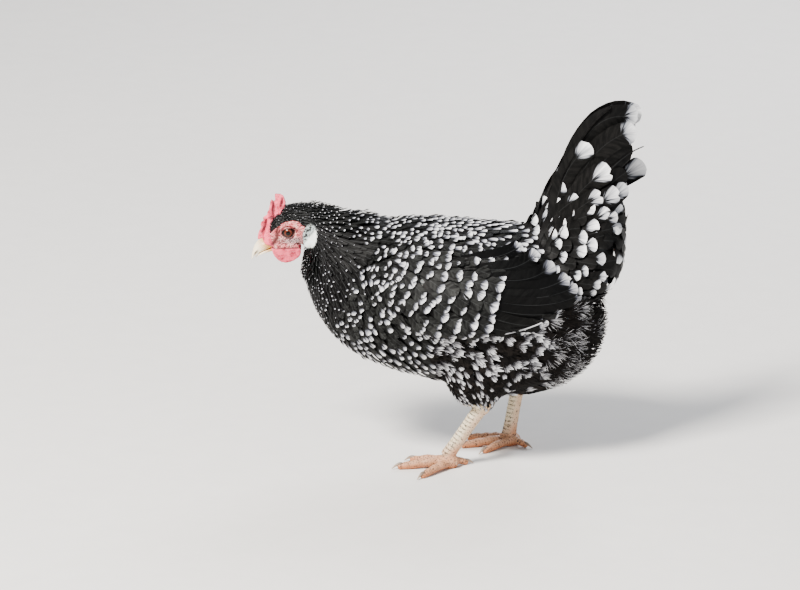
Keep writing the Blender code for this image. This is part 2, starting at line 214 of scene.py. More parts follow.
def smoothed(points, triangles, rounds, weight):  # evens a mesh out; weight says where
    edges = np.sort(np.concatenate([triangles[:, pair] for pair in ([0, 1], [1, 2], [2, 0])]), axis=1)
    edges = np.unique(edges, axis=0)
    count = np.bincount(edges.ravel(), minlength=len(points))[:, None]
    for _ in range(rounds):
        total = np.zeros_like(points)
        np.add.at(total, edges[:, 0], points[edges[:, 1]])
        np.add.at(total, edges[:, 1], points[edges[:, 0]])
        points = points + (total / np.maximum(count, 1) - points) * 0.5 * weight[:, None]
    return points


def vertexNormals(points, triangles):
    a, b, c = (points[triangles[:, k]] for k in range(3))
    flat = np.cross(b - a, c - a)
    total = np.zeros_like(points)
    for k in range(3):
        np.add.at(total, triangles[:, k], flat)
    return unit(total)


def setAttribute(mesh, name, values):  # one number or one vector for each vertex
    values = np.asarray(values, dtype=np.float32)
    kind, key = ("FLOAT_VECTOR", "vector") if values.shape[-1] == 3 else ("FLOAT", "value")
    mesh.attributes.new(name, kind, "POINT").data.foreach_set(key, values.ravel())


def stacked(*rows):  # arrays side by side, as one array of vectors
    return np.stack(np.broadcast_arrays(*rows), axis=-1)


viewPlace = {"target": (-50.4, 0.0, 177.9), "distance": 5000.0, "elevation": 17.0, "lens": 214.3}
lamps = {  # place in metres, size, watts, tint
    "keyLamp": ((-1.5, -1.8, 2.7), 0.9, 400, "#fffaf4"),
    "fillLamp": ((2.2, -2.2, 1.2), 2.4, 30, "#eef3ff"),
    "rimLamp": ((0.9, 2.4, 2.0), 1.4, 90, "#f6f8ff"),
}


def makeStage():
    view = viewPlace
    up = math.radians(view["elevation"])
    target = (Vector(view["target"]) + Vector(toModel)) * mm
    camera = linkObject("camera", bpy.data.cameras.new("camera"))
    camera.location = target + Vector((0, -math.cos(up), math.sin(up))) * view["distance"] * mm
    camera.rotation_euler = (math.pi / 2 - up, 0, 0)
    camera.data.sensor_width = 36.0
    camera.data.lens = view["lens"]
    camera.data.clip_end = 50.0
    bpy.context.scene.camera = camera
    for name, (place, size, power, tint) in lamps.items():
        lamp = bpy.data.lights.new(name, "AREA")
        lamp.size = size
        lamp.energy = power
        lamp.color = linear(tint)[:3]
        holder = linkObject(name, lamp)
        holder.location = place
        holder.rotation_euler = (Vector((0, 0, 0.18)) - Vector(place)).to_track_quat("-Z", "Y").to_euler()

    world = bpy.data.worlds.new("studio")
    bpy.context.scene.world = world
    world.use_nodes = True
    world.node_tree.nodes["Background"].inputs[0].default_value = linear("#e9ebee")
    world.node_tree.nodes["Background"].inputs[1].default_value = 0.5

    paper, add = emptyMaterial("paleStudioPaper")  # matt seamless paper: even, soft, no glare
    grain = add("TexNoise", links={"Scale": 900.0, "Detail": 3.0})
    tint = add("Mix", grain, "#dcdad6", "#e4e2de")
    shader = add("BsdfPrincipled", links={"Base Color": tint, "Roughness": 0.85})
    add("OutputMaterial", shader)
    reach = 14000.0  # wide enough for every view, with nothing standing behind the hen
    below = -0.05  # just under the soles
    corners = [(reach * x, reach * y, below) for x, y in ((-1, -1), (1, -1), (1, 1), (-1, 1))]
    meshObject("studioFloor", corners, [(0, 1, 2, 3)], paper)


makeStage()
print("stage set")


def featherMaterial(name, look):
    made, add = emptyMaterial(name)
    given = [add("Attribute", attribute_name=key) for key in ("barb", "spot", "tone")]
    barb, spot, tone = (node.outputs["Vector"] for node in given)
    _, barbAside, barbSeed = add("SeparateXYZ", barb).outputs
    spotAside, spotEdge, spotDepth = add("SeparateXYZ", spot).outputs
    sheenShare, greyness, cleftDepth = add("SeparateXYZ", tone).outputs
    along = add("VectorMath", barb, (1 / look["barbs"], 0.16, 41.0), operation="MULTIPLY")
    streak = add("TexNoise", along, 1.0, 2.5, 0.6)
    wide = add("VectorMath", barb, (0.22, 0.10, 23.0), operation="MULTIPLY")
    patch = add("TexNoise", wide, 1.0, 1.0)

    # The white tip: a rounded fan. Its rays spread from a point on the shaft; it is bright at the rim, grey
    # towards the root, and black shows between the rays at its inner edge.
    across = add("Math", spotAside, operation="ABSOLUTE")
    curved = add("Math", across, look["power"], operation="POWER")
    cleft = add("MapRange", across, 0.0, 0.24, 1.0, 0.0)
    cut = add("Math", cleft, cleftDepth, curved, operation="MULTIPLY_ADD")
    full = add("Math", 1.0, cut, operation="SUBTRACT")
    back = add("Math", spotEdge, spotDepth, operation="DIVIDE")
    inside = add("Math", full, back, operation="SUBTRACT")
    root = add("Math", spotDepth, 1.2, 0.6, operation="MULTIPLY_ADD")
    rayRise = add("Math", root, spotEdge, operation="SUBTRACT")
    rayTurn = add("Math", barbAside, rayRise, operation="ARCTAN2")
    rayNumber = add("Math", rayTurn, look["rays"], operation="MULTIPLY")
    rayAt = add("CombineXYZ", rayNumber, barbSeed, back)
    rayPlace = add("VectorMath", rayAt, (1.0, 37.0, 0.5), operation="MULTIPLY")
    rays = add("TexNoise", rayPlace, 1.0, 2.0, 0.6)
    ray = add("Math", rays, -0.5, operation="ADD")
    combedEdge = add("Math", ray, look["ragged"], inside, operation="MULTIPLY_ADD")
    mask = add("MapRange", combedEdge, -look["soft"], look["fade"], interpolation_type="SMOOTHSTEP")

    # Painted sheen: pale streaks along the barbs lighten the black towards the look's pale colour, more on
    # some feathers than on others.
    mixed = add("Math", streak, patch, operation="MULTIPLY")
    depth = add("MapRange", mixed, 0.16, 0.36)
    lifted = add("Math", depth, sheenShare, operation="MULTIPLY")
    black = add("Mix", lifted, look["black"], look["pale"])
    rachis = add("Math", barbAside, operation="ABSOLUTE")
    shaft = add("MapRange", rachis, 0.1, 0.32, look["shaft"], 0.0)
    shafted = add("Mix", shaft, black, "#6d7072")
    brightness = add("Math", ray, 1.5, inside, operation="MULTIPLY_ADD")
    combed = add("MapRange", brightness, look["dim"], look["bright"])
    pale = add("Mix", combed, look["grey"], look["white"])
    greyed = add("Mix", greyness, pale, look["grey"])
    colour = add("Mix", mask, shafted, greyed)
    rough = add("MapRange", mask, 0.0, 1.0, look["gloss"], 0.75)
    bump = add("Bump", links={"Strength": 0.5, "Distance": 0.0003, "Height": streak})
    shader = add("BsdfPrincipled", links={
        "Base Color": colour, "Roughness": rough, "Normal": bump, "IOR": 1.54,
        "Specular IOR Level": look["shine"]})
    add("OutputMaterial", shader)
    return made


# Keratin vanes with dark melanin: near black with a faint gloss, dull white where the tips hold no pigment.
# The pale streaks along the barbs are painted sheen.
# Real barbs stand about 0.35 mm apart; they are drawn about twice as wide so that they show.
vaneBlack = featherMaterial("closeVaneKeratin", {
    "black": "#030303", "pale": "#2d2e2d", "white": "#ffffff", "grey": "#5c5e68", "barbs": 0.75,
    "power": 3.4, "ragged": 0.9, "soft": 0.02, "fade": 0.42, "dim": 0.25, "bright": 1.05, "rays": 5.0,
    "shaft": 0.12, "gloss": 0.5, "shine": 0.06,
})
# The tail's broad vanes: the same keratin with stronger, wider-set barbs that comb through the white.
tailBlack = featherMaterial("broadVaneKeratin", {
    "black": "#030303", "pale": "#1a1918", "white": "#ffffff", "grey": "#5d626d", "barbs": 0.7,
    "power": 3.6, "ragged": 1.1, "soft": 0.02, "fade": 0.35, "dim": 0.05, "bright": 0.9, "rays": 6.0,
    "shaft": 0.08, "gloss": 0.5, "shine": 0.07,
})
# Loose downy barbs: no gloss, browner, with blurred ends; their pale streaks are painted sheen as well.
downBlack = featherMaterial("looseDownKeratin", {
    "black": "#050404", "pale": "#1b1714", "white": "#e4e4e6", "grey": "#6c6c73", "barbs": 0.8,
    "power": 2.8, "ragged": 2.8, "soft": 0.3, "fade": 0.9, "dim": 0.1, "bright": 1.0, "rays": 11.0,
    "shaft": 0.0, "gloss": 0.7, "shine": 0.06,
})
print("plumage materials made")

headPlace = np.array([-167.0, 0.0, 250.0])  # midway between the eyes
headTurn = math.radians(25.0)  # the beak points this far below level
headForward = np.array([-math.cos(headTurn), 0.0, -math.sin(headTurn)])
headUp = np.array([-math.sin(headTurn), 0.0, math.cos(headTurn)])
skull = Matrix.Translation(Vector(headPlace + toModel)) @ Matrix.Rotation(-headTurn, 4, "Y")
# The eyeball, and the opening of its lids.
ballLook = {"radius": 7.0, "spread": 9.5, "opening": (6.3, 4.4), "tilt": 12.0}

# Bare skin of the face, seen from the side in the head's own forward and upward millimetres.
faceOutline = [(42, 9), (18.3, 6.4), (12, 9.3), (7.4, 10.6), (3, 11.8), (-2.3, 12.2), (-10, 10.5),
               (-16, 7.0), (-19, 0), (-19, -10), (-14, -20), (-6, -23), (3, -20.5), (12, -17.5),
               (20, -15), (28, -12.5), (42, -10)]
# The comb's fleshy root, in front of the crown's feathers.
combOutline = [(-12, 42), (-10.4, 27), (-0.8, 21.7), (5.5, 20.6), (13.5, 16.4), (18.3, 6.4), (19.6, 0),
               (20.5, -9), (42, -9), (42, 42)]
# Where the beak stands over the face's skin.
hornOutline = [(60, 8), (36.0, 3.6), (30.5, -0.6), (26.8, -3.9), (22.5, -8.2), (20.6, -11.0),
               (21.5, -14.6), (30, -16), (60, -30)]
# Furrows on the head: their ends and half width.
combSlits = [((26.8, 8.8), (20.6, 13.9), 0.95), ((20.6, 13.9), (16.2, 19.6), 1.0),
             ((8.0, 20.5), (0.2, 36.5), 1.3), ((12.0, 19.5), (7.5, 20.5), 1.2),
             ((-3.5, 26.0), (-8.5, 33.0), 1.2)]
loreFolds = [((5.2, 13.0), (10.2, 6.4), 1.5), ((10.2, 6.4), (13.4, -1.0), 1.9),
             ((13.4, -1.0), (20.4, -5.6), 2.2)]


def headView(points):  # forward, up and side places round the middle of the head
    away = points - headPlace
    return away @ headForward, away @ headUp, points[:, 1]


def flapShape(centre, half, turn, form):  # a closed flap of skin; form gives its own bulges
    shape = bmesh.new()
    bmesh.ops.create_uvsphere(shape, u_segments=56, v_segments=30, radius=1.0)
    place = skull @ Matrix.Translation(Vector(centre)) @ Euler(turn).to_matrix().to_4x4()
    for vertex in shape.verts:
        vertex.co = place @ Vector(form(*vertex.co, half))
    bmesh.ops.scale(shape, vec=(mm, mm, mm), verts=shape.verts)
    bmesh.ops.recalc_face_normals(shape, faces=shape.faces)
    return shape


def wattleForm(x, y, z, half):  # flat along the jaw, thin at its hanging rim, with two soft folds
    top = 0.62 if z > 0 else 1.0
    thin = 0.52 + 0.48 * max(0.0, z + 0.55) / 1.55
    fold = 0.22 * math.sin(3.1 * x + 0.6) * (0.4 - z)
    narrow = 1 + 0.24 * min(z, 0.0)
    return x * narrow * half[0], (y * thin + fold) * half[1], z * (0.86 + 0.14 * top) * half[2]


def lobeForm(x, y, z, half):  # a smooth oval with a faint dish inside a rounded rim
    away = math.hypot(x, z)
    dish = 0.22 * math.exp(-(away / 0.45) ** 2) - 0.12 * math.exp(-((away - 0.7) / 0.2) ** 2)
    wave = 0.10 * math.sin(4.0 * z + 1.0)
    return x * half[0], (y * (1 - dish) + wave) * half[1], z * half[2]


combLook = {  # the blade's edge: its reach from the comb's root, by angle from straight ahead
    "first": -1.0, "last": 112.0, "root": 9.0, "steps": 226, "thick": 3.2, "wave": 1.5, "groove": 0.10,
    "shares": (0.0, 0.2, 0.4, 0.55, 0.68, 0.8, 0.89, 0.95, 0.99),
    "angles": (-1, 8, 14, 19.8, 26, 32, 36, 41, 47, 52, 58, 64, 69, 74, 79, 82.5, 85.5, 87.3, 89.5, 92.5,
               97, 101, 105, 108, 110.5, 112),
    "reach": (36.4, 33.6, 31.4, 28.9, 29.6, 28.9, 26.6, 28.0, 27.2, 25, 26.6, 26.4, 27.8, 29.8, 32.0, 33.2,
              31.0, 28.0, 33.0, 37.2, 35.8, 35.2, 33, 30.4, 27, 22),
}


def furrowDepth(forward, up, furrows, ends=0.2):  # how deep the furrows are, 0 to 1
    deep = np.zeros(len(forward))
    for start, end, half in furrows:
        t, away = segmentAway(forward, up, start, end)
        fade = np.sin(math.pi * np.clip(t, ends, 1 - ends))
        deep = np.maximum(deep, np.exp(-((away / half) ** 2)) * fade)
    return deep


def combShape():  # an upright fleshy blade with low points in front and two tall ones behind
    look = combLook
    shape = bmesh.new()
    rings = []
    for i in range(look["steps"] + 1):
        at = look["first"] + (look["last"] - look["first"]) * i / look["steps"]
        angle = math.radians(at)
        way = Vector((-math.cos(angle), 0, math.sin(angle)))
        top = float(np.interp(at, look["angles"], look["reach"]))
        bend = look["wave"] * math.sin(math.radians(at * 5.2))
        row = []
        for share in look["shares"]:
            reach = look["root"] + (top - look["root"]) * share
            thick = look["thick"] * (1 - share**2.6) ** 0.5 + 0.25
            groove = 1.0 + look["groove"] * math.sin(at * 0.31) * (share > 0.3)
            row.append((reach, thick * groove, bend * max(0.0, (reach - 17) / 13)))
        ring = [way * reach + Vector((0, lean - thick, 0)) for reach, thick, lean in row]
        ring += [way * reach + Vector((0, lean + thick, 0)) for reach, thick, lean in reversed(row)]
        rings.append([shape.verts.new(point) for point in ring])
    for low, high in zip(rings, rings[1:]):
        for j in range(len(low)):
            k = (j + 1) % len(low)
            shape.faces.new((low[j], low[k], high[k], high[j]))
    shape.faces.new(rings[0][::-1])
    shape.faces.new(rings[-1])
    place = Matrix.Scale(mm, 4) @ skull @ Matrix.Translation(Vector((2, 0, 4)))
    bmesh.ops.transform(shape, matrix=place, verts=shape.verts)
    bmesh.ops.triangulate(shape, faces=[f for f in shape.faces if len(f.verts) > 4])
    bmesh.ops.recalc_face_normals(shape, faces=shape.faces)
    return shape


legLook = {
    "left": {"hock": (38.5, -38.5, 72.0), "pad": (-1.5, -37.0),
             "toes": {"hallux": -161, "inner": -17, "middle": 9, "outer": 50}},
    "right": {"hock": (77.5, 38.5, 80.0), "pad": (65.0, 37.0),
              "toes": {"hallux": -147, "inner": -43, "middle": -15, "outer": 14}},
}
toeLengths = {"hallux": 21.0, "inner": 36.0, "middle": 49.0, "outer": 40.0}
toeAsides = {"hallux": 0.0, "inner": -5.4, "middle": 0.0, "outer": 5.4}

skinLook = {"voxel": 0.78, "grow": 0.42, "triangles": 188000, "papilla": 1.25, "papillaRise": 0.34,
            "scuteRise": 0.6, "slit": 1.8, "jawFold": 0.8, "lore": 1.06, "horn": 3.2}
fleshNodes = ["trunk", "neck", "head", "comb", "tail_coverts"]
for sideName in sides:
    fleshNodes += [f"{part}_{sideName}" for part in ("wattle", "earlobe", "thigh", "shank", "pad")]
    fleshNodes += [f"toe_{sideName}_{toe}" for toe in toeLengths]


def toeFrame(sideName, toe):  # where a toe leaves its pad, and its way over the floor
    leg, side = legLook[sideName], sides[sideName]
    facing = math.radians(leg["toes"]["middle"])
    turn = -side * math.radians(leg["toes"][toe])
    root = np.array(leg["pad"]) + np.array([math.sin(facing), side * math.cos(facing)]) * toeAsides[toe]
    return root, np.array([-math.cos(turn), -math.sin(turn)])


def bareShapes():  # the head's bare flaps, made finer than the solids they stand for
    shapes = [combShape()]
    flaps = (  # forward, side and up, half sizes, sideways tilt and turn in degrees
        ((-11.2, 8.8, -18.2), (16.1, 2.7, 14.2), -7, 14, wattleForm),
        ((19.6, 19.6, -11.5), (7.0, 3.4, 13.0), 6, 8, lobeForm),
    )
    for side in sides.values():
        for (x, y, z), half, tilt, turn, form in flaps:
            turns = (math.radians(side * tilt), math.radians(turn) + headTurn, 0)
            shapes.append(flapShape((x, side * y, z), half, turns, form))
    return shapes


def lobePlace(points):  # places across and up the ear lobe, in mm from its middle
    away = points - (headPlace + headForward * -19.6 + headUp * -11.5)
    c, s = math.cos(math.radians(8)), math.sin(math.radians(8))
    return away[:, 0] * c - away[:, 2] * s, away[:, 0] * s + away[:, 2] * c


def skinZones(points):  # how far each kind of skin holds at each place, from 0 to 1
    forward, up, side = headView(points)
    across = np.abs(side)
    near = ease(-122, -133, points[:, 0]) * ease(195, 212, points[:, 2])
    comb = near * ease(-0.6, 0.6, insideOutline(forward, up, combOutline))
    lobeX, lobeZ = lobePlace(points)
    lobe = near * ease(1.06, 0.98, np.hypot(lobeX / 7.2, lobeZ / 13.2)) * ease(14.5, 16.5, across)
    c, s = math.cos(math.radians(14)), math.sin(math.radians(14))
    flapX, flapZ = forward - 11.2, up + 18.2
    flapAway = np.hypot((flapX * c + flapZ * s) / 16.5, (-flapX * s + flapZ * c) / 14.6)
    wattle = near * ease(1.05, 0.99, flapAway) * ease(5.0, 6.0, across) * ease(12.6, 11.6, across)
    jaw = up - 0.42 * forward  # level along the jaw
    wattle *= ease(-19.2, -20.4, jaw)
    red = np.maximum(comb, wattle)
    face = near * ease(-0.5, 0.6, insideOutline(forward, up, faceOutline)) * (1 - red) * (1 - lobe)
    face = face * ease(0.6, 3.0, across)
    jawFold = np.exp(-(((jaw + 19.4) / 0.8) ** 2)) * ease(-7, -2, forward) * ease(21, 17, forward)
    return {
        "near": near, "comb": comb, "wattle": wattle, "red": red, "lobe": lobe, "face": face,
        "leg": ease(73, 71, points[:, 2]),
        "grey": np.exp(-((np.hypot((forward + 1) / 11.0, (jaw + 9.5) / 4.6)) ** 2)) * face,
        "lore": furrowDepth(forward, up, loreFolds, 0.45) * near,
        "jawFold": jawFold * near,
        "horn": near * ease(-0.5, 0.7, insideOutline(forward, up, hornOutline)) * (1 - wattle),
        "slit": furrowDepth(forward, up, combSlits) * comb,
        "lobeShade": ease(-2.5, 3.0, 0.6 * lobeZ - lobeX - 0.5) * lobe,
    }


coatLook = {"face": 1.9, "body": 9.0, "underWing": 0.25, "leg": 0.28}  # depths in mm, then shares of them


def coatDepth(points, zones):  # how deep the skin lies under the tips of the plumage
    x, y, z = points.T
    look = coatLook
    depth = look["body"] * ease(-128, -88, x) + look["face"]
    underWing = ease(-82, -62, x) * ease(112, 96, x) * ease(38, 54, np.abs(y))
    underWing = underWing * ease(158, 172, z) * ease(250, 238, z)
    depth = depth * (1 - (1 - look["underWing"]) * underWing)
    depth = np.where(z < 118, depth * (look["leg"] + (1 - look["leg"]) * ease(82, 118, z)), depth)
    depth = depth * ease(63, 76, z)
    return depth * (1 - np.clip(zones["red"] + zones["lobe"] + zones["face"] + zones["leg"], 0, 1))


def lidShift(points):  # sideways places of the lids, and how firmly they hold
    x, z = points[:, 0] - headPlace[0], points[:, 2] - headPlace[2]
    tilt = math.radians(ballLook["tilt"])
    long = x * math.cos(tilt) + z * math.sin(tilt)
    short = -x * math.sin(tilt) + z * math.cos(tilt)
    a, b = ballLook["opening"]
    away = np.hypot(long / a, short / b * (1 + 0.12 * (long / a) ** 2))
    reach = np.hypot(long, short)
    ball = ballLook["spread"] + np.sqrt(np.maximum(ballLook["radius"] ** 2 - reach**2, 4.0))
    rim = ball + 0.28 + 0.5 * np.exp(-((away - 1.24) / 0.13) ** 2)
    sunk = ball - 1.1 - 0.8 * ease(1.0, 0.5, away)
    target = sunk + (rim - sunk) * ease(0.96, 1.06, away)
    hold = ease(1.95, 1.3, away)
    crease = 0.4 * np.exp(-((away - 1.62) / 0.13) ** 2) + 0.25 * np.exp(-((away - 2.15) / 0.16) ** 2)
    return target, hold, crease, away


def legDetail(points, zones):  # scutes: overlapping plates down the shank's front and over each toe
    below = np.where(points[:, 2] < 80)[0]
    p = points[below]
    height = p[:, 2]
    found = np.zeros((3, len(p)))  # rise, dark seams and warm tint
    for name, side in sides.items():
        look = legLook[name]
        onSide = np.sign(p[:, 1]) == side
        hock, (padX, padY) = np.array(look["hock"]), look["pad"]
        way = unit((np.array([padX + 1.0, padY, 12.5]) - hock)[None])[0]
        down = (p - hock) @ way
        off = p - hock - down[:, None] * way
        forward = off @ np.array([way[2], 0.0, -way[0]])
        turn = np.abs(np.arctan2(off[:, 1], forward))
        facing = forward / np.maximum(np.linalg.norm(off, axis=1), 1e-6)
        front = ease(-0.15, 0.25, facing)
        step = (down / 4.6 + 0.12 * turn) % 1.0
        plate = (0.35 + 0.65 * step) * (1 - ease(0.9, 1.0, step)) - np.exp(-((turn / 0.09) ** 2)) * 0.5
        found = np.where(onSide & (height > 11), (
            front * plate + (1 - front) * papillae(p, 2.3, 5) * 0.7,
            ease(0.66, 0.80, step) * front,
            0.42 * ease(0.7, -0.75, facing) + 0.45 * ease(34, 12, height)), found)
        best = np.full(len(p), 1e9)
        for toe in look["toes"]:
            root, toeWay = toeFrame(name, toe)
            flat = p[:, :2] - root
            run = flat @ toeWay
            aside = np.abs(flat[:, 0] * toeWay[1] - flat[:, 1] * toeWay[0])
            distance = np.hypot(aside, run - np.clip(run, 0, toeLengths[toe] + 3))
            mine = onSide & (height <= 13) & (distance < best) & (distance < 9)
            best = np.where(mine, distance, best)
            step = (run / 3.1 + 0.1 * aside) % 1.0
            top = ease(3.0, 5.0, height)
            plate = (0.35 + 0.65 * step) * (1 - ease(0.88, 1.0, step))
            found = np.where(mine, (
                top * plate + (1 - top) * papillae(p, 1.9, 9) * 0.5,
                0.8 * ease(0.76, 0.92, step) * top,
                1 - 0.26 * ease(1.5, 8.5, height)), found)
    detail = np.zeros((3, len(points)))
    detail[:, below] = found
    return detail * zones["leg"]


def makeSkin(material):
    look = skinLook
    ownShapes = ("comb", "wattle", "earlobe")
    shapes = [nodeShape(node, look["grow"]) for node in fleshNodes if not node.startswith(ownShapes)]
    shapes += [nodeShape(f"eye_{name}", 0.5) for name in sides] + bareShapes()
    even = joinedForm("evenSkin", shapes, look["voxel"])
    points, triangles = meshArrays(even)
    bpy.data.objects.remove(even)
    plain = np.ones(len(points))  # under feathers: fewer triangles will do
    plain[(points[:, 0] < -118) & (points[:, 2] > 205)] = 0
    plain[points[:, 2] < 76] = 0
    points = smoothed(points, triangles, 5, np.maximum(plain, 0.55))
    rough = meshObject("roughSkin", points, triangles, material)
    group = rough.vertex_groups.new(name="plain")
    group.add(np.where(plain > 0.5)[0].tolist(), 1.0, "REPLACE")
    thin = rough.modifiers.new("thin", "DECIMATE")
    thin.ratio = look["triangles"] / len(triangles)
    thin.vertex_group = "plain"
    thin.use_collapse_triangulate = True
    points, triangles = meshArrays(rough)
    bpy.data.objects.remove(rough)

    covered = 1 - ease(-118, -128, points[:, 0]) * ease(200, 214, points[:, 2])
    covered *= ease(74, 80, points[:, 2])
    points = smoothed(points, triangles, 14, covered)
    zones = skinZones(points)
    normals = vertexNormals(points, triangles)
    target, hold, crease, away = lidShift(points)
    outward = np.abs(points[:, 1])
    around = (outward > 8.5) & (zones["near"] > 0.5)
    points[:, 1] = np.sign(points[:, 1]) * (outward + (target - outward) * np.where(around, hold, 0))
    crease = np.where(around, crease, 0)
    grain = papillae(points, look["papilla"], 3) * zones["face"] * np.where(away < 1.1, 0.15, 1.0)
    combGrain = (papillae(points, 0.9, 4) * 0.12 + 0.22 * lumps(points, 3.0, 2)) * zones["comb"]
    flapGrain = (0.10 * papillae(points, 1.1, 6) + 0.16 * lumps(points, 4.5, 8)) * zones["wattle"]
    legRise, legDark, legWarm = legDetail(points, zones)
    furrow = sum(look[key] * zones[key] for key in ("slit", "jawFold", "lore"))
    out = grain * look["papillaRise"] + combGrain + flapGrain - crease * zones["face"] - furrow
    out += legRise * look["scuteRise"] - 0.25 * zones["leg"] - look["horn"] * zones["horn"]
    out -= coatDepth(points, zones)
    # Near black along the lids' rim and over the skin inside their opening: painted shade where lid meets
    # eyeball.
    lidShade = np.where(around, 1.2 * np.exp(-(((away - 1.05) / 0.17) ** 2)) + (away < 1.05), 0)
    # The furrows' depth again, now as the painted shade that darkens them in the skin's colour.
    furrow = np.clip(furrow + (look["horn"] - 2.4) * zones["horn"], 0, 1)
    points = points + normals * out[:, None]
    points[:, 2] = np.maximum(points[:, 2], 0.0)
    skin = meshObject("skin", points, triangles, material)
    setAttribute(skin.data, "flecked", 1 - zones["near"])
    for name, rows in {
        "bare": (zones["red"], zones["face"], zones["lobe"]),
        "leg": (zones["leg"], legDark, legWarm),
        "grain": (grain, crease, zones["lobeShade"]),
        "shade": (zones["grey"], furrow, np.clip(lidShade, 0, 1)),
    }.items():
        setAttribute(skin.data, name, stacked(*rows))
    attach(skin, "root")
    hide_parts(*fleshNodes)
    return skin


def skinMaterial():
    # Live bird skin: soft, slightly translucent and waxy. Red where blood shows through, granular on the
    # face, matt white on the ear lobe, horny and dry on the leg, dark with pale flecks under the feathers.
    # Painted shade darkens the skin's furrows, folds, lid creases and the lids' rim.
    made, add = emptyMaterial("henSkinWaxy")
    place = add("TexCoord").outputs["Object"]
    bare, leg, grain, shade = (add("Attribute", attribute_name=key).outputs["Vector"]
                               for key in ("bare", "leg", "grain", "shade"))
    onRed, onFace, onLobe = add("SeparateXYZ", bare).outputs
    onLeg, legSeam, legWarmth = add("SeparateXYZ", leg).outputs
    grainRise, crease, lobeShade = add("SeparateXYZ", grain).outputs
    greyness, furrow, lidShade = add("SeparateXYZ", shade).outputs
    broad = add("TexNoise", place, 170.0, 3.0)
    fine = add("TexNoise", place, 900.0, 3.0, 0.6)
    cells = add("TexVoronoi", place, 105.0, links={"Randomness": 0.8})
    flecks = add("TexVoronoi", place, 620.0, links={"Randomness": 1.0})

    fleck = add("MapRange", cells, 0.20, 0.30, 1.0, 0.0)
    down = add("Mix", fine, "#0b0b0b", "#242322")
    flecked = add("Attribute", attribute_name="flecked")
    fleckHere = add("Math", fleck, flecked.outputs["Fac"], operation="MULTIPLY")
    marked = add("Mix", fleckHere, down, "#b9bcbd")

    redTone = add("MapRange", broad, 0.36, 0.58)
    red = add("Mix", redTone, "#a00e2e", "#f2566f")
    # Pale pink flecks on the comb and wattles: painted highlights on the skin's fine grain.
    glintShare = add("MapRange", fine, 0.5, 0.72, 0.0, 0.5)
    redGlinted = add("Mix", glintShare, red, "#fb9fab")
    # Painted shade: the comb's slits, the folds by the jaw and lore and the skin under the beak's edge turn
    # dark red.
    redSkin = add("Mix", furrow, redGlinted, "#5c0416")

    faceTone = add("MapRange", grainRise, 0.12, 0.46)
    facePatch = add("MapRange", broad, 0.42, 0.6)
    faceLow = add("Mix", facePatch, "#6d1a22", "#983c40")
    faceHigh = add("Mix", facePatch, "#de6a70", "#f0aca4")
    faceSkin = add("Mix", faceTone, faceLow, faceHigh)
    greyTone = add("Mix", faceTone, "#30252a", "#d8bdbc")
    greyed = add("Mix", greyness, faceSkin, greyTone)
    bristle = add("MapRange", flecks, 0.24, 0.38, 1.0, 0.0)
    lowFace = add("MapRange", greyness, 0.0, 0.5, 0.45, 1.0)
    bristleHere = add("Math", bristle, lowFace, operation="MULTIPLY")
    bristled = add("Mix", bristleHere, greyed, "#241a1c")
    # Painted shade on the face: darker in the lid creases and the furrows, near black at the lids.
    faceShaded = bristled
    for here, tint in ((crease, "#8e3a40"), (furrow, "#4e1210"), (lidShade, "#120a09")):
        faceShaded = add("Mix", here, faceShaded, tint)

    lobe = add("Mix", broad, "#dfe8e2", "#fbfcf7")
    lobeDim = add("Mix", lobeShade, lobe, "#98a2a1")
    lobeCells = add("TexVoronoi", place, 470.0, links={"Randomness": 1.0})
    lobeRough = add("Math", fine, 1.3, lobeCells, operation="MULTIPLY_ADD")
    lobeEdge = add("MapRange", lobeRough, 1.14, 1.24, 1.0, 0.0)
    lobeSpots = add("Math", lobeEdge, lobeShade, operation="MULTIPLY")
    lobeSkin = add("Mix", lobeSpots, lobeDim, "#0b0d0e")

    warm = add("Math", legWarmth, 0.9, operation="MULTIPLY")
    shank = add("Mix", broad, "#c4b08c", "#ecdfc4")
    tinted = add("Mix", warm, shank, "#b1602c")
    ink = add("TexNoise", place, 620.0, 1.0)
    inkSpot = add("MapRange", ink, 0.47, 0.52)
    seam = add("Math", legSeam, inkSpot, operation="MULTIPLY")
    loose = add("MapRange", ink, 0.61, 0.65, 0.0, 0.9)
    faint = add("Math", legSeam, 0.4, operation="MULTIPLY")
    dashes = add("Math", loose, seam, operation="MAXIMUM")
    legDark = add("Math", dashes, faint, operation="MAXIMUM")
    legSkin = add("Mix", legDark, tinted, "#120d0a")

    colour = marked
    for here, kind in ((onFace, faceShaded), (onRed, redSkin), (onLobe, lobeSkin), (onLeg, legSkin)):
        colour = add("Mix", here, colour, kind)
    bump = add("Bump", links={"Strength": 0.35, "Distance": 0.0003, "Height": fine})
    rough = add("MapRange", fine, 0.3, 0.7, 0.42, 0.62)
    shader = add("BsdfPrincipled", links={
        "Base Color": colour, "Roughness": rough, "Normal": bump, "IOR": 1.42, "Subsurface Weight": 0.08,
        "Subsurface Radius": (1.0, 0.35, 0.2), "Subsurface Scale": 0.0012})
    add("OutputMaterial", shader)
    return made


skin = makeSkin(skinMaterial())
print("skin made", len(skin.data.polygons), "triangles")

# The form that the feathers lie on: the solids' own outer surface, rounded off.
formNodes = ["head", "neck", "trunk", "tail_coverts", "tail_fan"]
for sideName in sides:
    formNodes += [f"wing_{sideName}", f"thigh_{sideName}"]


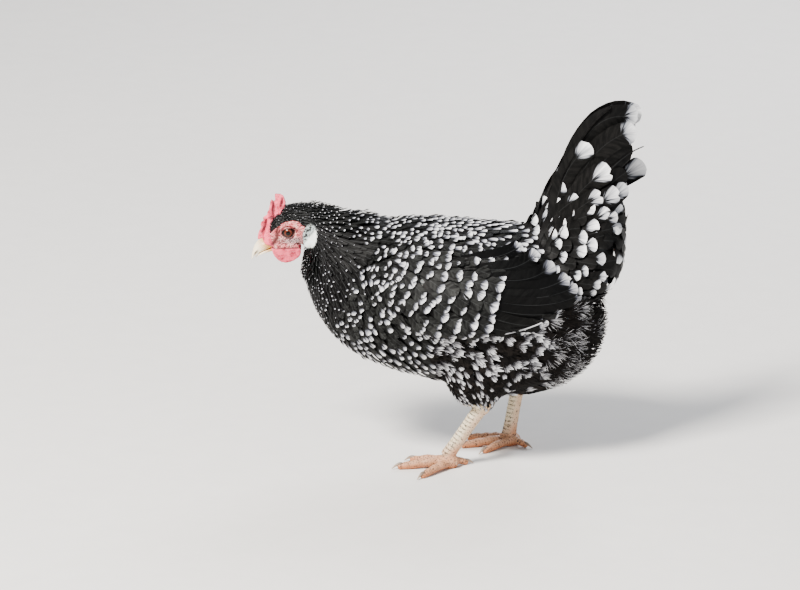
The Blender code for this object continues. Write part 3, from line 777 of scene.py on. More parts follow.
def makeForm():
    even = joinedForm("evenForm", [nodeShape(node, 0.3) for node in formNodes], 2.6)
    points, triangles = meshArrays(even)
    bpy.data.objects.remove(even)
    points = smoothed(points, triangles, 6, np.ones(len(points)))
    normals = vertexNormals(points, triangles)
    points = points + normals * 0.5
    trees = []
    for node in formNodes:
        shape = nodeShape(node, 0.0)
        trees.append(BVHTree.FromBMesh(shape))
        shape.free()
    centres = points[triangles].mean(axis=1)
    labels = np.zeros(len(triangles), dtype=int)
    for i, centre in enumerate(centres):
        place = (Vector(centre) + Vector(toModel)) * mm
        labels[i] = min((tree.find_nearest(place)[3], k) for k, tree in enumerate(trees))[1]
    tree = KDTree(len(points))
    for i, point in enumerate(points):
        tree.insert(point, i)
    tree.balance()
    rays = BVHTree.FromPolygons(points.tolist(), triangles.tolist())
    return {"points": points, "triangles": triangles, "normals": normals, "labels": labels, "tree": tree,
            "rays": rays, "centres": centres}


form = makeForm()
print("form ready", len(form["triangles"]), "triangles")


def ontoForm(places):  # the nearest places on the form, and its normals there
    points, normals = np.empty_like(places), np.empty_like(places)
    find, own, facing = form["tree"].find_n, form["points"], form["normals"]
    for i, place in enumerate(places):
        found = find(place, 6)
        index = [f[1] for f in found]
        weight = np.array([1 / (f[2] ** 2 + 0.6) for f in found])
        weight /= weight.sum()
        normal = weight @ facing[index]
        normal /= np.linalg.norm(normal) + 1e-9
        centre = weight @ own[index]
        points[i] = place - normal * np.dot(place - centre, normal)
        normals[i] = normal
    return points, normals


def fromTheSide(x, z, side):  # places on the form's flank, seen along y
    found = []
    for a, b in zip(x, z):
        hit = form["rays"].ray_cast(Vector((a, side * 200.0, b)), Vector((0, -side, 0)))[0]
        found.append(hit if hit else (a, np.nan, b))
    return np.array([tuple(f) for f in found])


# Which way the plumage lies, seen from the side: x, z, and degrees up from straight back.
lieGuides = np.array([
    (-186, 258, 55), (-178, 268, 30), (-165, 277, 6), (-150, 276, -8), (-135, 268, -20), (-120, 258, -24),
    (-145, 255, -22), (-130, 243, -38), (-160, 222, -62), (-176, 228, -30), (-152, 205, -76),
    (-150, 235, -55), (-128, 215, -55), (-108, 228, -42), (-90, 245, -22), (-102, 195, -48),
    (-138, 180, -72), (-125, 150, -60), (-105, 120, -42), (-75, 100, -25), (-40, 92, -14), (0, 85, -6),
    (-78, 205, -40), (-60, 170, -40), (-75, 140, -42), (-30, 210, -34), (0, 190, -34), (40, 190, -28),
    (80, 195, -20), (110, 197, -10), (-60, 252, -12), (-10, 250, -3), (40, 246, -3), (80, 240, -2),
    (60, 225, -24), (0, 140, -28), (50, 120, -30), (90, 130, -26), (60, 90, -30), (110, 110, -28),
    (145, 130, -18), (155, 165, 5), (130, 190, 8), (120, 165, -12), (100, 240, -4), (120, 225, -16),
    (140, 240, -2), (110, 262, 21), (120, 290, 40), (150, 262, 12), (165, 300, 28), (130, 330, 52),
    (150, 345, 48), (185, 355, 42), (178, 245, 1), (172, 222, -10), (185, 300, 24), (30, 110, -52),
    (40, 88, -66), (66, 100, -62), (45, 76, -76),
], dtype=float)


def lieOf(points):  # the direction of the plumage at each place
    apart = points[:, None, [0, 2]] - lieGuides[None, :, :2]
    weight = 1 / (apart[..., 0] ** 2 + apart[..., 1] ** 2 + 60.0) ** 2
    angle = np.radians(lieGuides[:, 2])
    x = weight @ np.cos(angle)
    z = weight @ np.sin(angle)
    spread = np.clip(points[:, 1] / 40.0, -1, 1) * 0.10 * (points[:, 2] > 205) * (points[:, 0] < 95)
    away = unit(np.stack([x, np.zeros(len(x)), z], axis=1))
    away[:, 1] = spread
    return unit(away)


def traceBack(tips, lengths, rows, lean):  # the line of each feather over the form, from root to tip
    line, normals = np.empty((len(tips), rows, 3)), np.empty((len(tips), rows, 3))
    place, normal = ontoForm(tips)
    for i in range(rows - 1, -1, -1):
        line[:, i], normals[:, i] = place, normal
        if i:
            way = lieOf(place)
            behind = ease(0.72, 0.93, normal[:, 0]) * ease(165, 180, place[:, 2])
            behind = (behind * ease(268, 250, place[:, 2]))[:, None]
            way = way * (1 - behind) + behind * np.array([0.1, 0.0, -1.0])  # down the blunt rear
            way = way + np.cross(normal, way) * lean[:, None]
            way = unit(way - normal * np.sum(way * normal, axis=1, keepdims=True))
            place, normal = ontoForm(place - way * (lengths / (rows - 1))[:, None])
    return line, normals


def scatter(chosen, spacing, rng):  # evenly spread places over some triangles; spacing is a function
    corners = form["points"][form["triangles"][chosen]]
    a, b, c = corners.swapaxes(0, 1)
    area = np.linalg.norm(np.cross(b - a, c - a), axis=1) / 2
    gaps = spacing(corners.mean(axis=1))
    expected = int((area / (gaps**2 * 0.8)).sum())
    picks = rng.choice(len(area), expected * 9, p=(area / gaps**2) / (area / gaps**2).sum())
    a, b = rng.random(len(picks)), rng.random(len(picks))
    over = a + b > 1
    a, b = np.where(over, 1 - a, a)[:, None], np.where(over, 1 - b, b)[:, None]
    tri = corners[picks]
    darts = tri[:, 0] + (tri[:, 1] - tri[:, 0]) * a + (tri[:, 2] - tri[:, 0]) * b
    gap = spacing(darts)
    cellSize = gap.max()
    cells, kept = {}, []
    for i, (x, y, z) in enumerate(darts.tolist()):
        key = (int(x // cellSize), int(y // cellSize), int(z // cellSize))
        own = gap[i] ** 2
        others = (other for step in cellSteps
                  for other in cells.get((key[0] + step[0], key[1] + step[1], key[2] + step[2]), ()))
        if all((x - other[0]) ** 2 + (y - other[1]) ** 2 + (z - other[2]) ** 2 >= own for other in others):
            cells.setdefault(key, []).append((x, y, z))
            kept.append(i)
    return darts[kept]


def bakePlaces(roots):  # where each feather's own patch lies: its root's station and turn round the skin
    x, y, z = roots.T
    middle = np.interp(x, [-190, -160, -140, -110, -60, 0, 60, 120, 170],
                       [238, 250, 240, 212, 182, 172, 163, 160, 152])
    turn = np.arctan2(y, z - middle)
    station = x + 0.35 * (z - 170) * (x > 95)
    order = np.argsort(station, kind="stable")
    across = max(1, math.ceil(math.sqrt(len(roots))))
    places = np.empty((len(roots), 2))
    for row in range(math.ceil(len(roots) / across)):
        band = order[row * across:(row + 1) * across]
        band = band[np.argsort(turn[band], kind="stable")]
        places[band, 0] = (np.arange(len(band)) + 0.5) / across
        places[band, 1] = (row + 0.5) / across
    return places, 0.8 / across


# What each vane has unless its tract says otherwise.
vaneDefaults = {
    "crowd": 1.25, "steep": 1.4,  # how its rows crowd towards the tip, how fast the root dives
    "roll": 0.05, "stray": 0.35, "waver": 0.10, "curl": 0.02, "ruffle": 0.02,  # how unevenly it lies
    "notch": 0.0, "notched": 0.3, "fray": 0.03,  # nicks in the tip, the share that has them, ragged barbs
    "shaft": 0.12, "crescent": 0.55, "spread": 0.85, "cleft": 0.3, "clefts": 0.4,  # its shaft and white tip
    # how much painted sheen lightens its black, how grey its white tip is, and its size
    "sheenShare": (0.45, 1.0), "grey": 0.15, "size": lambda p: np.ones(len(p)),
}


def layVanes(name, line, normals, look, tips, rng, material):
    # One mesh of many vanes. look: half width, depth of the root, roundness of the tip and so on, each a
    # number or one for each feather. tips: depth of the white tip in mm, below zero where there is none.
    look = {**vaneDefaults, **look}
    count, rows = line.shape[:2]
    columns = look["columns"]
    length, half, sink, roundness, lift, cup, taper, spread = (
        np.broadcast_to(np.asarray(look[key], dtype=float), (count,))[:, None, None]
        for key in ("length", "half", "sink", "round", "lift", "cup", "taper", "spread"))
    share = 1 - (1 - np.linspace(0, 1, rows)) ** look["crowd"]
    at = share * (rows - 1)
    low = np.minimum(at.astype(int), rows - 2)
    part = (at - low)[None, :, None]
    line = line[:, low] * (1 - part) + line[:, low + 1] * part
    normals = unit(normals[:, low] * (1 - part) + normals[:, low + 1] * part)
    way = unit(np.gradient(line, axis=1))
    aside = unit(np.cross(normals, way))
    v = share[:, None]  # 0 at the root, 1 at the tip
    s = np.sin(math.pi / 2 * np.linspace(-1, 1, columns))  # -1 and 1 at the vane's edges
    seed = rng.random(count)[:, None, None]
    roll = rng.normal(0, look["roll"], count)[:, None, None]
    lifted = rng.random(count)[:, None, None] * look["stray"]
    bentTip = rng.normal(0, look["curl"], count)[:, None, None]
    wide = half * ((0.34 + 0.66 * ease(0.0, 0.55, v)) * (1 - taper * ease(0.35, 1.0, v)))
    notchAt = rng.uniform(-0.7, 0.7, count)[:, None, None]
    notch = look["notch"] * half * (rng.random(count) < look["notched"])[:, None, None]
    notch = notch * np.exp(-(((s - notchAt) / 0.13) ** 2))
    fray = rng.normal(0, look["fray"], (count, columns))[:, None] * half
    back = (roundness * (1 - np.sqrt(1 - 0.985 * s**2)) + notch + fray) * v**3
    sideways = s * wide * (1 + rng.normal(0, look["ruffle"], (count, rows, columns)))
    height = (lift * v**2 - sink * (1 - v) ** look["steep"] + lifted * v - cup * s**2 * wide * 0.5
              + roll * sideways + look["shaft"] * np.exp(-((s / 0.1) ** 2)) + bentTip * length * v**4)
    points = (line[:, :, None] + aside[:, :, None] * sideways[..., None] - way[:, :, None] * back[..., None]
              + normals[:, :, None] * height[..., None])
    distance = length * (1 - v) + back
    edge = distance - back * look["crescent"]
    depth = tips[:, None, None]
    cleft = look["cleft"] * (rng.random(count) < look["clefts"])[:, None, None]
    # each feather's share of painted sheen
    sheenShare = rng.uniform(*look["sheenShare"], count)[:, None, None]
    greyness = np.clip(rng.normal(look["grey"], 0.12, count), 0, 1)[:, None, None]
    grid = np.arange(rows * columns).reshape(rows, columns)
    quads = stacked(grid[:-1, :-1], grid[:-1, 1:], grid[1:, 1:], grid[1:, :-1]).reshape(-1, 4)
    faces = (quads + (np.arange(count) * rows * columns)[:, None, None]).reshape(-1, 4)
    made = meshObject(name, points.reshape(-1, 3), faces, material)
    marked = np.where(depth > 0, edge, edge + 9.0)
    setAttribute(made.data, "spot", stacked(s / spread, marked, np.where(depth > 0, depth, 1.0)))
    setAttribute(made.data, "barb", stacked(distance + 0.9 * np.abs(sideways), sideways, seed))
    setAttribute(made.data, "tone", stacked(sheenShare + 0 * edge, greyness, cleft))
    places, patch = bakePlaces(line[:, 0])
    spots = places[:, None, None] + (stacked(0.5 + 0.5 * s, v) - 0.5) * patch
    layer = made.data.uv_layers.new(name="OFBake")
    layer.data.foreach_set("uv", spots.reshape(-1, 2)[faces.ravel()].astype(np.float32).ravel())
    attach(made, "root")
    print(name, count, "feathers", 2 * len(faces), "triangles")
    return made


def labelled(*names):
    wanted = [k for k, node in enumerate(formNodes) if node.startswith(names)]
    return np.isin(form["labels"], wanted)


def splayed(line, normals, barbs, splay, rng):  # copies of each line, turned apart about its root
    count, rows = line.shape[:2]
    turns = np.linspace(-splay, splay, barbs)[None] + rng.normal(0, splay * 0.14, (count, barbs))
    reach = rng.uniform(0.72, 1.12, (count, barbs))
    off = (line - line[:, :1])[:, None] * reach[:, :, None, None]
    axis = normals[:, :1].repeat(rows, axis=1)[:, None]
    c, s = np.cos(turns)[:, :, None, None], np.sin(turns)[:, :, None, None]
    along = axis * np.sum(off * axis, axis=-1, keepdims=True)
    turned = along + (off - along) * c + np.cross(np.broadcast_to(axis, off.shape), off) * s
    return (line[:, None, :1] + turned).reshape(-1, rows, 3), np.repeat(normals, barbs, axis=0)


def plumage(name, chosen, look, material, seed):  # one tract of feathers over part of the form
    look = {**vaneDefaults, **look}
    rng = np.random.default_rng(seed)
    tips = scatter(chosen, look["spacing"], rng)
    size = look["size"](tips)
    length = look["span"] * size * rng.uniform(0.88, 1.12, len(tips))
    lean = rng.normal(0, look["waver"], len(tips))
    line, normals = traceBack(tips, length, look["rows"], lean)
    marks = look["marks"](tips, rng)
    if "fan" in look:  # each plume splits into thin barbs that spread from its root
        line, normals = splayed(line, normals, look["fan"], look["splay"], rng)
        tips, marks, length, size = (np.repeat(a, look["fan"], axis=0) for a in (tips, marks, length, size))
    details = dict(look, length=length, half=look["half"] * size * rng.uniform(0.88, 1.12, len(tips)),
                   sink=look["sink"] * np.minimum(size, 1.2), round=look["round"] * size)
    if "rise" in look:
        details["lift"] = look["rise"](tips)
    return layVanes(name, line, normals, details, marks, rng, material)


def someWhite(p, rng, share, low, high, depth=1.0, otherwise=-1.0):
    # The depth of each feather's white tip: this share of them has one, between two multiples of the depth.
    chosen = rng.random(len(p)) < share
    return np.where(chosen, depth * rng.uniform(low, high, len(p)), otherwise)


def growing(base, more=0.0, low=0.0, high=1.0, axis=0):  # a size that grows along one axis
    return lambda p: base + more * ease(low, high, p[:, axis])


centreX, centreY, centreZ = form["centres"].T
headForwardAt, headUpAt, _ = headView(form["centres"])
faceInside = insideOutline(headForwardAt, headUpAt, faceOutline)
combInside = insideOutline(headForwardAt, headUpAt, combOutline)
onHead = labelled("head") & (faceInside < -0.2) & (combInside < 0.0) & (headForwardAt < 22)
crownTop = (headUpAt > 4) & (headForwardAt < 13) & (combInside < 0.0) & (np.abs(centreY) < 6.0)
onHead |= labelled("head") & crownTop
lobeAcross, lobeUp = lobePlace(form["centres"])
lobeAwayAt = np.hypot(lobeAcross / 7.4, lobeUp / 13.4)
onHead &= (lobeAwayAt > 1.1) | (np.abs(centreY) < 12)
onNeck = labelled("neck") & ((lobeAwayAt > 1.1) | (np.abs(centreY) < 12))
onWing = labelled("wing")
onThigh = labelled("thigh")
onTrunk = labelled("trunk")
onTail = labelled("tail")
backLine = onTrunk & (centreZ > 222) & (centreX > -100)
breastPart = onTrunk & ~backLine & (centreX < -12)
underTail = onTail & (centreX > 128) & (centreZ < 184 + 12 * lumps(form["centres"], 16.0, 71))
ventPart = (onTrunk & ~backLine & (centreX > 112)) | underTail
flankPart = onTrunk & ~backLine & (centreX >= -12) & (centreX <= 112)


def neckGrowth(p):  # feathers lengthen from the nape down to the shoulder, and stay short round the lobe
    across, up = lobePlace(p)
    byLobe = np.where(np.abs(p[:, 1]) > 11, ease(2.3, 1.1, np.hypot(across / 7.4, up / 13.4)), 0)
    return (0.42 + 0.68 * ease(-150, -92, p[:, 0] - 0.25 * (p[:, 2] - 230))) * (1 - 0.55 * byLobe)


def crownMarks(p, rng):  # small dim ticks, none on the tongue of feathers beside the comb
    return someWhite(p, rng, np.where(headView(p)[0] < 7, 0.52, 0.0), 0.4, 1.05)


def neckMarks(p, rng):  # dense ticks on the nape, few specks on the side, more at the front and lower edge
    x, y, z = p.T
    nape = ease(244, 258, z + 0.25 * (x + 120))
    front = ease(-112, -135, x) * ease(215, 190, z)
    low = ease(-105, -92, x)
    specks = ease(224, 206, z) * ease(-142, -130, x)
    share = np.clip(0.07 + 0.6 * nape + 0.3 * front + 0.16 * low + 0.34 * specks, 0, 0.85)
    depth = 1.2 + 0.6 * nape + 0.5 * front + 1.8 * low + 0.6 * specks
    rim = someWhite(p, rng, 0.45, 0.2, 0.7)  # thin and pale
    return someWhite(p, rng, share, 0.7, 1.3, depth, rim)


def neckRise(p):  # the feathers' tips stand out on the nape, and more at the throat
    nape = ease(244, 262, p[:, 2] + 0.25 * (p[:, 0] + 120)) * ease(-172, -150, p[:, 0])
    throat = ease(-132, -142, p[:, 0]) * ease(238, 228, p[:, 2]) * ease(188, 206, p[:, 2])
    return 0.1 + 2.6 * nape + 5.0 * throat


def breastMarks(p, rng):
    x, y, z = p.T
    growth = ease(-135, -50, x) * 0.7 + ease(190, 120, z) * 0.5
    depth = 2.6 + 5.0 * np.clip(growth, 0, 1.1)
    share = np.clip(0.4 + 0.4 * growth, 0, 0.8) * (0.7 + 0.5 * (lumps(p, 22.0, 21) > -0.15))
    return someWhite(p, rng, share, 0.6, 1.3, depth)


def backMarks(p, rng):
    depth = 6.2 + 3.2 * ease(-60, 60, p[:, 0])
    share = 0.22 + 0.70 * ease(-80, -48, p[:, 0])
    return someWhite(p, rng, share, 0.6, 1.25, depth)


def flankMarks(p, rng):  # soft spots in loose clusters
    return someWhite(p, rng, 0.24 + 0.46 * (lumps(p, 20.0, 27) > -0.15), 6.5, 10.5)


def thighMarks(p, rng):  # more of them higher up, and round the hock
    height = p[:, 2]
    return someWhite(p, rng, 0.32 + 0.34 * ease(92, 118, height) + 0.4 * ease(88, 80, height), 5.0, 10.5)


crownLook = {"spacing": growing(2.15), "size": growing(0.75, 0.45, -178, -150), "span": 5.2, "half": 1.25,
             "sink": 1.25, "rows": 4, "columns": 3, "round": 1.1, "lift": 0.1, "cup": 0.3, "taper": 0.35,
             "stray": 0.3, "roll": 0.12, "fray": 0.06, "marks": crownMarks, "spread": 0.6, "grey": 0.45,
             "sheenShare": (0.03, 0.25)}
hackleLook = {"spacing": growing(2.4, 2.7, -150, -95), "size": neckGrowth, "rise": neckRise, "span": 27.0,
              "half": 3.1, "sink": 5.5, "rows": 7, "columns": 5, "round": 3.2, "lift": 0.1, "cup": 0.28,
              "taper": 0.35, "stray": 0.6, "roll": 0.08, "fray": 0.08, "notch": 0.5, "marks": neckMarks,
              "spread": 0.75, "grey": 0.4, "sheenShare": (0.0, 0.22)}
breastLook = {"spacing": growing(6.4, 1.6, -120, -50), "span": 27.0, "half": 5.2, "sink": 8.0, "rows": 8,
              "columns": 7, "round": 5.0, "lift": 0.2, "cup": 0.22, "taper": 0.12, "stray": 0.6,
              "notch": 0.45, "notched": 0.35, "marks": breastMarks, "sheenShare": (0.3, 0.95), "spread": 0.88,
              "crescent": 0.2, "cleft": 0.6, "clefts": 0.5}
backLook = {"spacing": growing(5.6, 1.4, 20, 90), "span": 30.0, "half": 4.7, "sink": 7.0, "rows": 8,
            "columns": 5, "round": 3.6, "lift": 0.2, "cup": 0.25, "taper": 0.3, "stray": 0.6,
            "waver": 0.07, "notch": 0.4, "notched": 0.25, "marks": backMarks, "crescent": 0.2,
            "grey": 0.05, "spread": 0.9, "sheenShare": (0.1, 0.5)}
shoulderLook = dict(breastLook, spacing=growing(6.8, 1.6, -80, 20), half=5.0, sink=7.0, spread=0.8,
                    waver=0.22, lift=0.6, marks=lambda p, rng: someWhite(p, rng, 0.66, 4.0, 9.0),
                    sheenShare=(0.2, 0.8))
flankLook = {"spacing": growing(8.4), "span": 30.0, "half": 7.4, "sink": 8.0, "rows": 7, "columns": 21,
             "round": 4.6, "lift": 0.4, "cup": 0.18, "taper": 0.05, "stray": 1.0, "waver": 0.16,
             "notch": 0.6, "notched": 0.7, "fray": 0.3, "ruffle": 0.03, "marks": flankMarks, "grey": 0.2,
             "sheenShare": (0.3, 0.9), "spread": 1.15, "crescent": 0.3}
thighLook = {"spacing": growing(3.8, 3.2, 88, 122, 2), "size": growing(0.42, 0.58, 78, 125, 2),
             "span": 24.0, "half": 4.6, "sink": 5.0, "rows": 7, "columns": 13, "round": 4.2, "lift": 0.3,
             "cup": 0.15, "taper": 0.15, "stray": 0.9, "waver": 0.16, "notch": 0.8, "notched": 0.6,
             "fray": 0.2, "ruffle": 0.05, "marks": thighMarks, "grey": 0.25, "sheenShare": (0.3, 0.9),
             "spread": 1.0, "crescent": 0.3}
ventLook = {"spacing": growing(3.0), "span": 19.0, "half": 0.95, "sink": 6.5, "rows": 7, "columns": 3,
            "round": 1.2, "lift": 0.8, "cup": 0.10, "taper": 0.55, "stray": 2.4, "waver": 0.3,
            "fray": 0.2, "ruffle": 0.05, "curl": 0.04, "grey": 0.8, "sheenShare": (0.2, 0.9), "spread": 1.2,
            "marks": lambda p, rng: someWhite(p, rng, 0.12, 1.0, 3.5)}
# Plumes over the fluff: each splits into pale hair-like barbs.
plumeLook = {"spacing": growing(10.0), "span": 18.0, "half": 0.30, "sink": 2.5, "rows": 6, "columns": 2,
             "round": 0.4, "lift": 1.6, "cup": 0.0, "taper": 0.8, "stray": 2.0, "waver": 0.22,
             "fray": 0.1, "curl": 0.015, "marks": lambda p, rng: someWhite(p, rng, 0.52, 7.0, 12.0),
             "grey": 0.1, "sheenShare": (0.2, 0.9), "spread": 6.0, "fan": 19, "splay": 0.75, "clefts": 0.0}

plumage("crownFeathers", onHead, crownLook, vaneBlack, 11)
plumage("neckHackles", onNeck, hackleLook, vaneBlack, 12)
plumage("breastFeathers", breastPart, breastLook, vaneBlack, 13)
plumage("backFeathers", backLine, backLook, vaneBlack, 14)
plumage("flankFeathers", flankPart, flankLook, downBlack, 15)
plumage("ventFluff", ventPart, ventLook, downBlack, 16)
plumage("ventPlumes", ventPart & (centreZ > 90), plumeLook, downBlack, 61)
for number, (sideName, side) in enumerate(sides.items()):
    onThisThigh = onThigh & (np.sign(centreY) == side)
    plumage(f"thighFeathers_{sideName}", onThisThigh, thighLook, downBlack, 17 + number)
shoulder = onWing & ((centreZ > 229) | (centreX < -46)) & (centreX < 60)
plumage("shoulderFeathers", shoulder, shoulderLook, vaneBlack, 63)
print("body plumage done")

wingLook = {"rows": 14, "rowGap": 14.5, "inRow": 10.5, "start": (67.0, 250.0), "flow": -20.0,
            "rowTurn": 75.0, "edgeRow": 6, "length": 30.0, "half": 6.2, "round": 4.6, "white": 6.2}
wingEdge = [(-82, 205), (-76, 232), (-50, 248), (-12, 253), (28, 250), (62, 241), (90, 231), (114, 219),
            (131, 206), (141, 193), (131, 183), (114, 175), (90, 167), (62, 159), (28, 154), (-12, 153),
            (-48, 165), (-74, 187)]
panelEdge = [(66, 240), (88, 234), (108, 225), (126, 211), (140, 195), (126, 182), (100, 168), (62, 158),
             (53, 175), (58, 205)]
lowWingEdge = np.array([(-52, 165), (-12, 152), (28, 152), (62, 156), (92, 164), (114, 173)], dtype=float)


def runAlong(knots):  # how far along a line of places each of them lies
    return np.concatenate([[0], np.cumsum(np.hypot(*np.diff(knots, axis=0).T))])


def alongCurve(curve, rows):  # even places along a smooth curve given by a few of its x and z places
    knots = np.array(curve, dtype=float)
    run = runAlong(knots)
    t = np.linspace(0, run[-1], rows)
    return [np.polyval(np.polyfit(run, knots[:, k], min(3, len(knots) - 1)), t) for k in (0, 1)]


def layAlong(name, feathers, look, seed, material, side):
    # Long feathers along curves given as x and z places; each is laid on the flank of the form.
    # A feather: its curve, half width, depth of white, and how far inside the flank it lies.
    curves, halves, whites, inward = zip(*feathers)
    rows = look["rows"]
    line, normals = np.empty((len(curves), rows, 3)), np.empty((len(curves), rows, 3))
    for i, curve in enumerate(curves):
        x, z = alongCurve(curve, rows)
        y = fromTheSide(x, z, side)[:, 1]
        good = np.where(~np.isnan(y))[0]
        y = np.interp(np.arange(rows), good, y[good]) if len(good) else np.full(rows, side * 8.0)
        for _ in range(3):
            y[1:-1] = (y[:-2] + 2 * y[1:-1] + y[2:]) / 4
        y = np.sign(side) * np.maximum(np.abs(y) - inward[i], 1.5)
        line[i] = np.stack([x, y, z], axis=1)
        normals[i] = unit(ontoForm(line[i])[1] * 0.35 + np.array([0, side * 0.65, 0.0]))
    details = dict(look, length=np.linalg.norm(np.diff(line, axis=1), axis=2).sum(axis=1), half=halves,
                   round=[half * look["blunt"] for half in halves])
    rng = np.random.default_rng(seed)
    return layVanes(name, line, normals, details, np.array(whites, dtype=float), rng, material)


def wingTips(rng):  # rows of coverts on the folded wing, as x and z places and row numbers
    look = wingLook
    start = np.array(look["start"])
    spots, numbers = [], []
    for row in range(look["rows"]):
        flow, turn = math.radians(look["flow"] - 0.6 * row), math.radians(look["rowTurn"] - 1.6 * row)
        if row:
            gap = look["rowGap"] * (1.0 - 0.028 * row)
            start = start - np.array([math.cos(flow), math.sin(flow)]) * gap
        for j in range(-4, 14):
            along = (j + 0.5 * (row % 2)) * look["inRow"] * (1.0 - 0.03 * row)
            spots.append(start - np.array([math.cos(turn), math.sin(turn)]) * along)
            numbers.append(row)
    run = runAlong(lowWingEdge)
    for at in np.arange(4.0, run[-1], 7.5):
        spots.append(np.array([np.interp(at, run, lowWingEdge[:, k]) for k in (0, 1)]))
        numbers.append(look["edgeRow"])
    spots, numbers = np.array(spots), np.array(numbers)
    spots = spots + rng.normal(0, 1.0, spots.shape) * (1.2 + 0.16 * numbers)[:, None]
    inside = insideOutline(*spots.T, wingEdge)
    panel = insideOutline(*spots.T, panelEdge)
    keep = (inside > -4.0) & ((panel < 1.0) | (numbers == look["edgeRow"]))
    keep &= rng.random(len(spots)) < 0.97
    return spots[keep], numbers[keep]


wingQuills = [  # from the lowest layer to the top one: root, middle and tip, half width, white depth
    (((-20, 196), (10, 176), (30, 163), (52, 158)), 8.0, 4.5),
    (((-12, 198), (22, 180), (50, 167), (76, 162)), 8.5, 4.8),
    (((-4, 200), (34, 184), (68, 172), (98, 169)), 9.0, 5.0),
    (((4, 203), (44, 189), (86, 180), (118, 179)), 9.0, 6.0),
    (((10, 206), (52, 195), (100, 189), (139, 193)), 9.0, 9.0),
    (((14, 210), (54, 201), (96, 197), (134, 203)), 9.5, 12.0),
    (((16, 214), (52, 208), (92, 205), (125, 213)), 10.0, 13.5),
    (((16, 220), (46, 217), (78, 215), (109, 225)), 10.0, 12.5),
    (((12, 227), (38, 226), (66, 226), (93, 236)), 9.5, 11.0),
    (((2, 234), (28, 235), (52, 236), (76, 243)), 9.0, 9.0),
    (((24, 156), (52, 159), (76, 165), (96, 173)), 1.1, 90.0),  # the white rim along the lower edge
]
covertLook = {"sink": 5.0, "lift": 0.5, "cup": 0.16, "taper": 0.0, "columns": 9, "stray": 0.5,
              "roll": 0.035, "notch": 0.4, "fray": 0.035, "crescent": 0.15, "cleft": 0.35,
              "sheenShare": (0.3, 1.0), "grey": 0.06}
quillLook = {"rows": 18, "columns": 11, "sink": 3.5, "blunt": 0.8, "cup": 0.12, "taper": 0.05,
             "stray": 0.1, "lift": [0.2 + 0.42 * k for k in range(10)] + [2.4], "roll": 0.02,
             "notch": 0.3, "notched": 0.4, "fray": 0.02, "ruffle": 0.008, "shaft": 0.35, "crescent": 0.35,
             "sheenShare": (0.03, 0.13), "grey": 0.3, "spread": 0.95, "clefts": 0.1}


def makeWing(sideName, side, seed):
    look = wingLook
    rng = np.random.default_rng(seed)
    spots, numbers = wingTips(rng)
    tips = fromTheSide(*spots.T, side)
    good = ~np.isnan(tips[:, 1]) & (np.abs(tips[:, 1]) > 30)
    tips, numbers = tips[good], numbers[good]
    size = (1.12 - 0.036 * numbers) * rng.uniform(0.92, 1.08, len(tips))
    size = np.where(numbers == 0, size * 1.08, size)
    length = look["length"] * size
    lean = rng.normal(0, 1.0, len(tips)) * (0.08 + 0.015 * numbers)
    line, normals = traceBack(tips, length, 9, lean)
    details = dict(covertLook, length=length, half=look["half"] * size, round=look["round"] * size,
                   spread=rng.uniform(1.0, 1.2, len(tips)))
    marks = look["white"] * size * rng.uniform(0.65, 1.25, len(tips))
    marks = np.where((rng.random(len(tips)) < 0.1) & (numbers > 0), -1.0, marks)
    made = layVanes(f"wingCoverts_{sideName}", line, normals, details, marks, rng, vaneBlack)
    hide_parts(f"wing_{sideName}")
    inward = [max(0.0, 2.8 - 0.35 * k) for k in range(10)] + [0.0]
    quills = [(*quill, depth) for quill, depth in zip(wingQuills, inward)]
    layAlong(f"wingQuills_{sideName}", quills, quillLook, seed + 1, vaneBlack, side)


for number, (sideName, side) in enumerate(sides.items()):
    makeWing(sideName, side, 31 + 5 * number)

tailRoot, tailWay = np.array([105.0, 214.0]), unit(np.array([80.9, 164.8]))


def upTail(p):
    return (p[:, [0, 2]] - tailRoot) @ tailWay


whiteTips = np.array([  # where the tail coverts' large white tips lie, seen from the side
    (113, 291), (116, 275), (134, 293), (139, 281), (132, 274), (153, 298), (151, 280), (164, 274),
    (175, 301), (178, 280), (104, 275), (98, 267), (117, 249), (138, 243), (162, 245), (180, 248),
    (168, 236), (122, 262), (146, 258), (92, 254), (108, 258), (127, 252), (152, 263), (126, 297),
    (106, 283),
])


def tailMarks(p, rng):  # the nearest feather to each place is white, and below them loose clusters are
    depth = 7.0 + 3.4 * ease(-10, 60, upTail(p)) + 2.6 * ease(238, 252, p[:, 2])
    share = (0.26 + 0.40 * (lumps(p, 26.0, 43) > -0.15)) * ease(244, 232, p[:, 2])
    chosen = rng.random(len(p)) < share
    for side in sides.values():
        own = np.where(np.sign(p[:, 1]) == side, 0, 500)
        for x, z in whiteTips:
            chosen[np.argmin(np.hypot(p[:, 0] - x, p[:, 2] - z) + own)] = True
    return np.where(chosen, depth * rng.uniform(0.8, 1.2, len(p)), -1.0)


tailLook = {"spacing": lambda p: 8.0 + 3.4 * ease(-20, 70, upTail(p)), "span": 34.0, "half": 6.4,
            "sink": 7.0, "size": lambda p: 0.78 + 0.42 * ease(-20, 80, upTail(p)), "rows": 11,
            "columns": 9, "round": 6.0, "lift": 0.5, "cup": 0.15, "taper": -0.1, "stray": 0.5,
            "curl": 0.01, "roll": 0.06, "waver": 0.12, "notch": 0.3, "notched": 0.35, "marks": tailMarks,
            "crescent": 0.1, "grey": 0.12, "sheenShare": (0.1, 0.6), "spread": 1.05}
upTailAt = upTail(form["centres"])
tailCoverts = plumage("tailCovertFeathers", onTail & (upTailAt < 88), tailLook, tailBlack, 41)
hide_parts("tail_coverts")

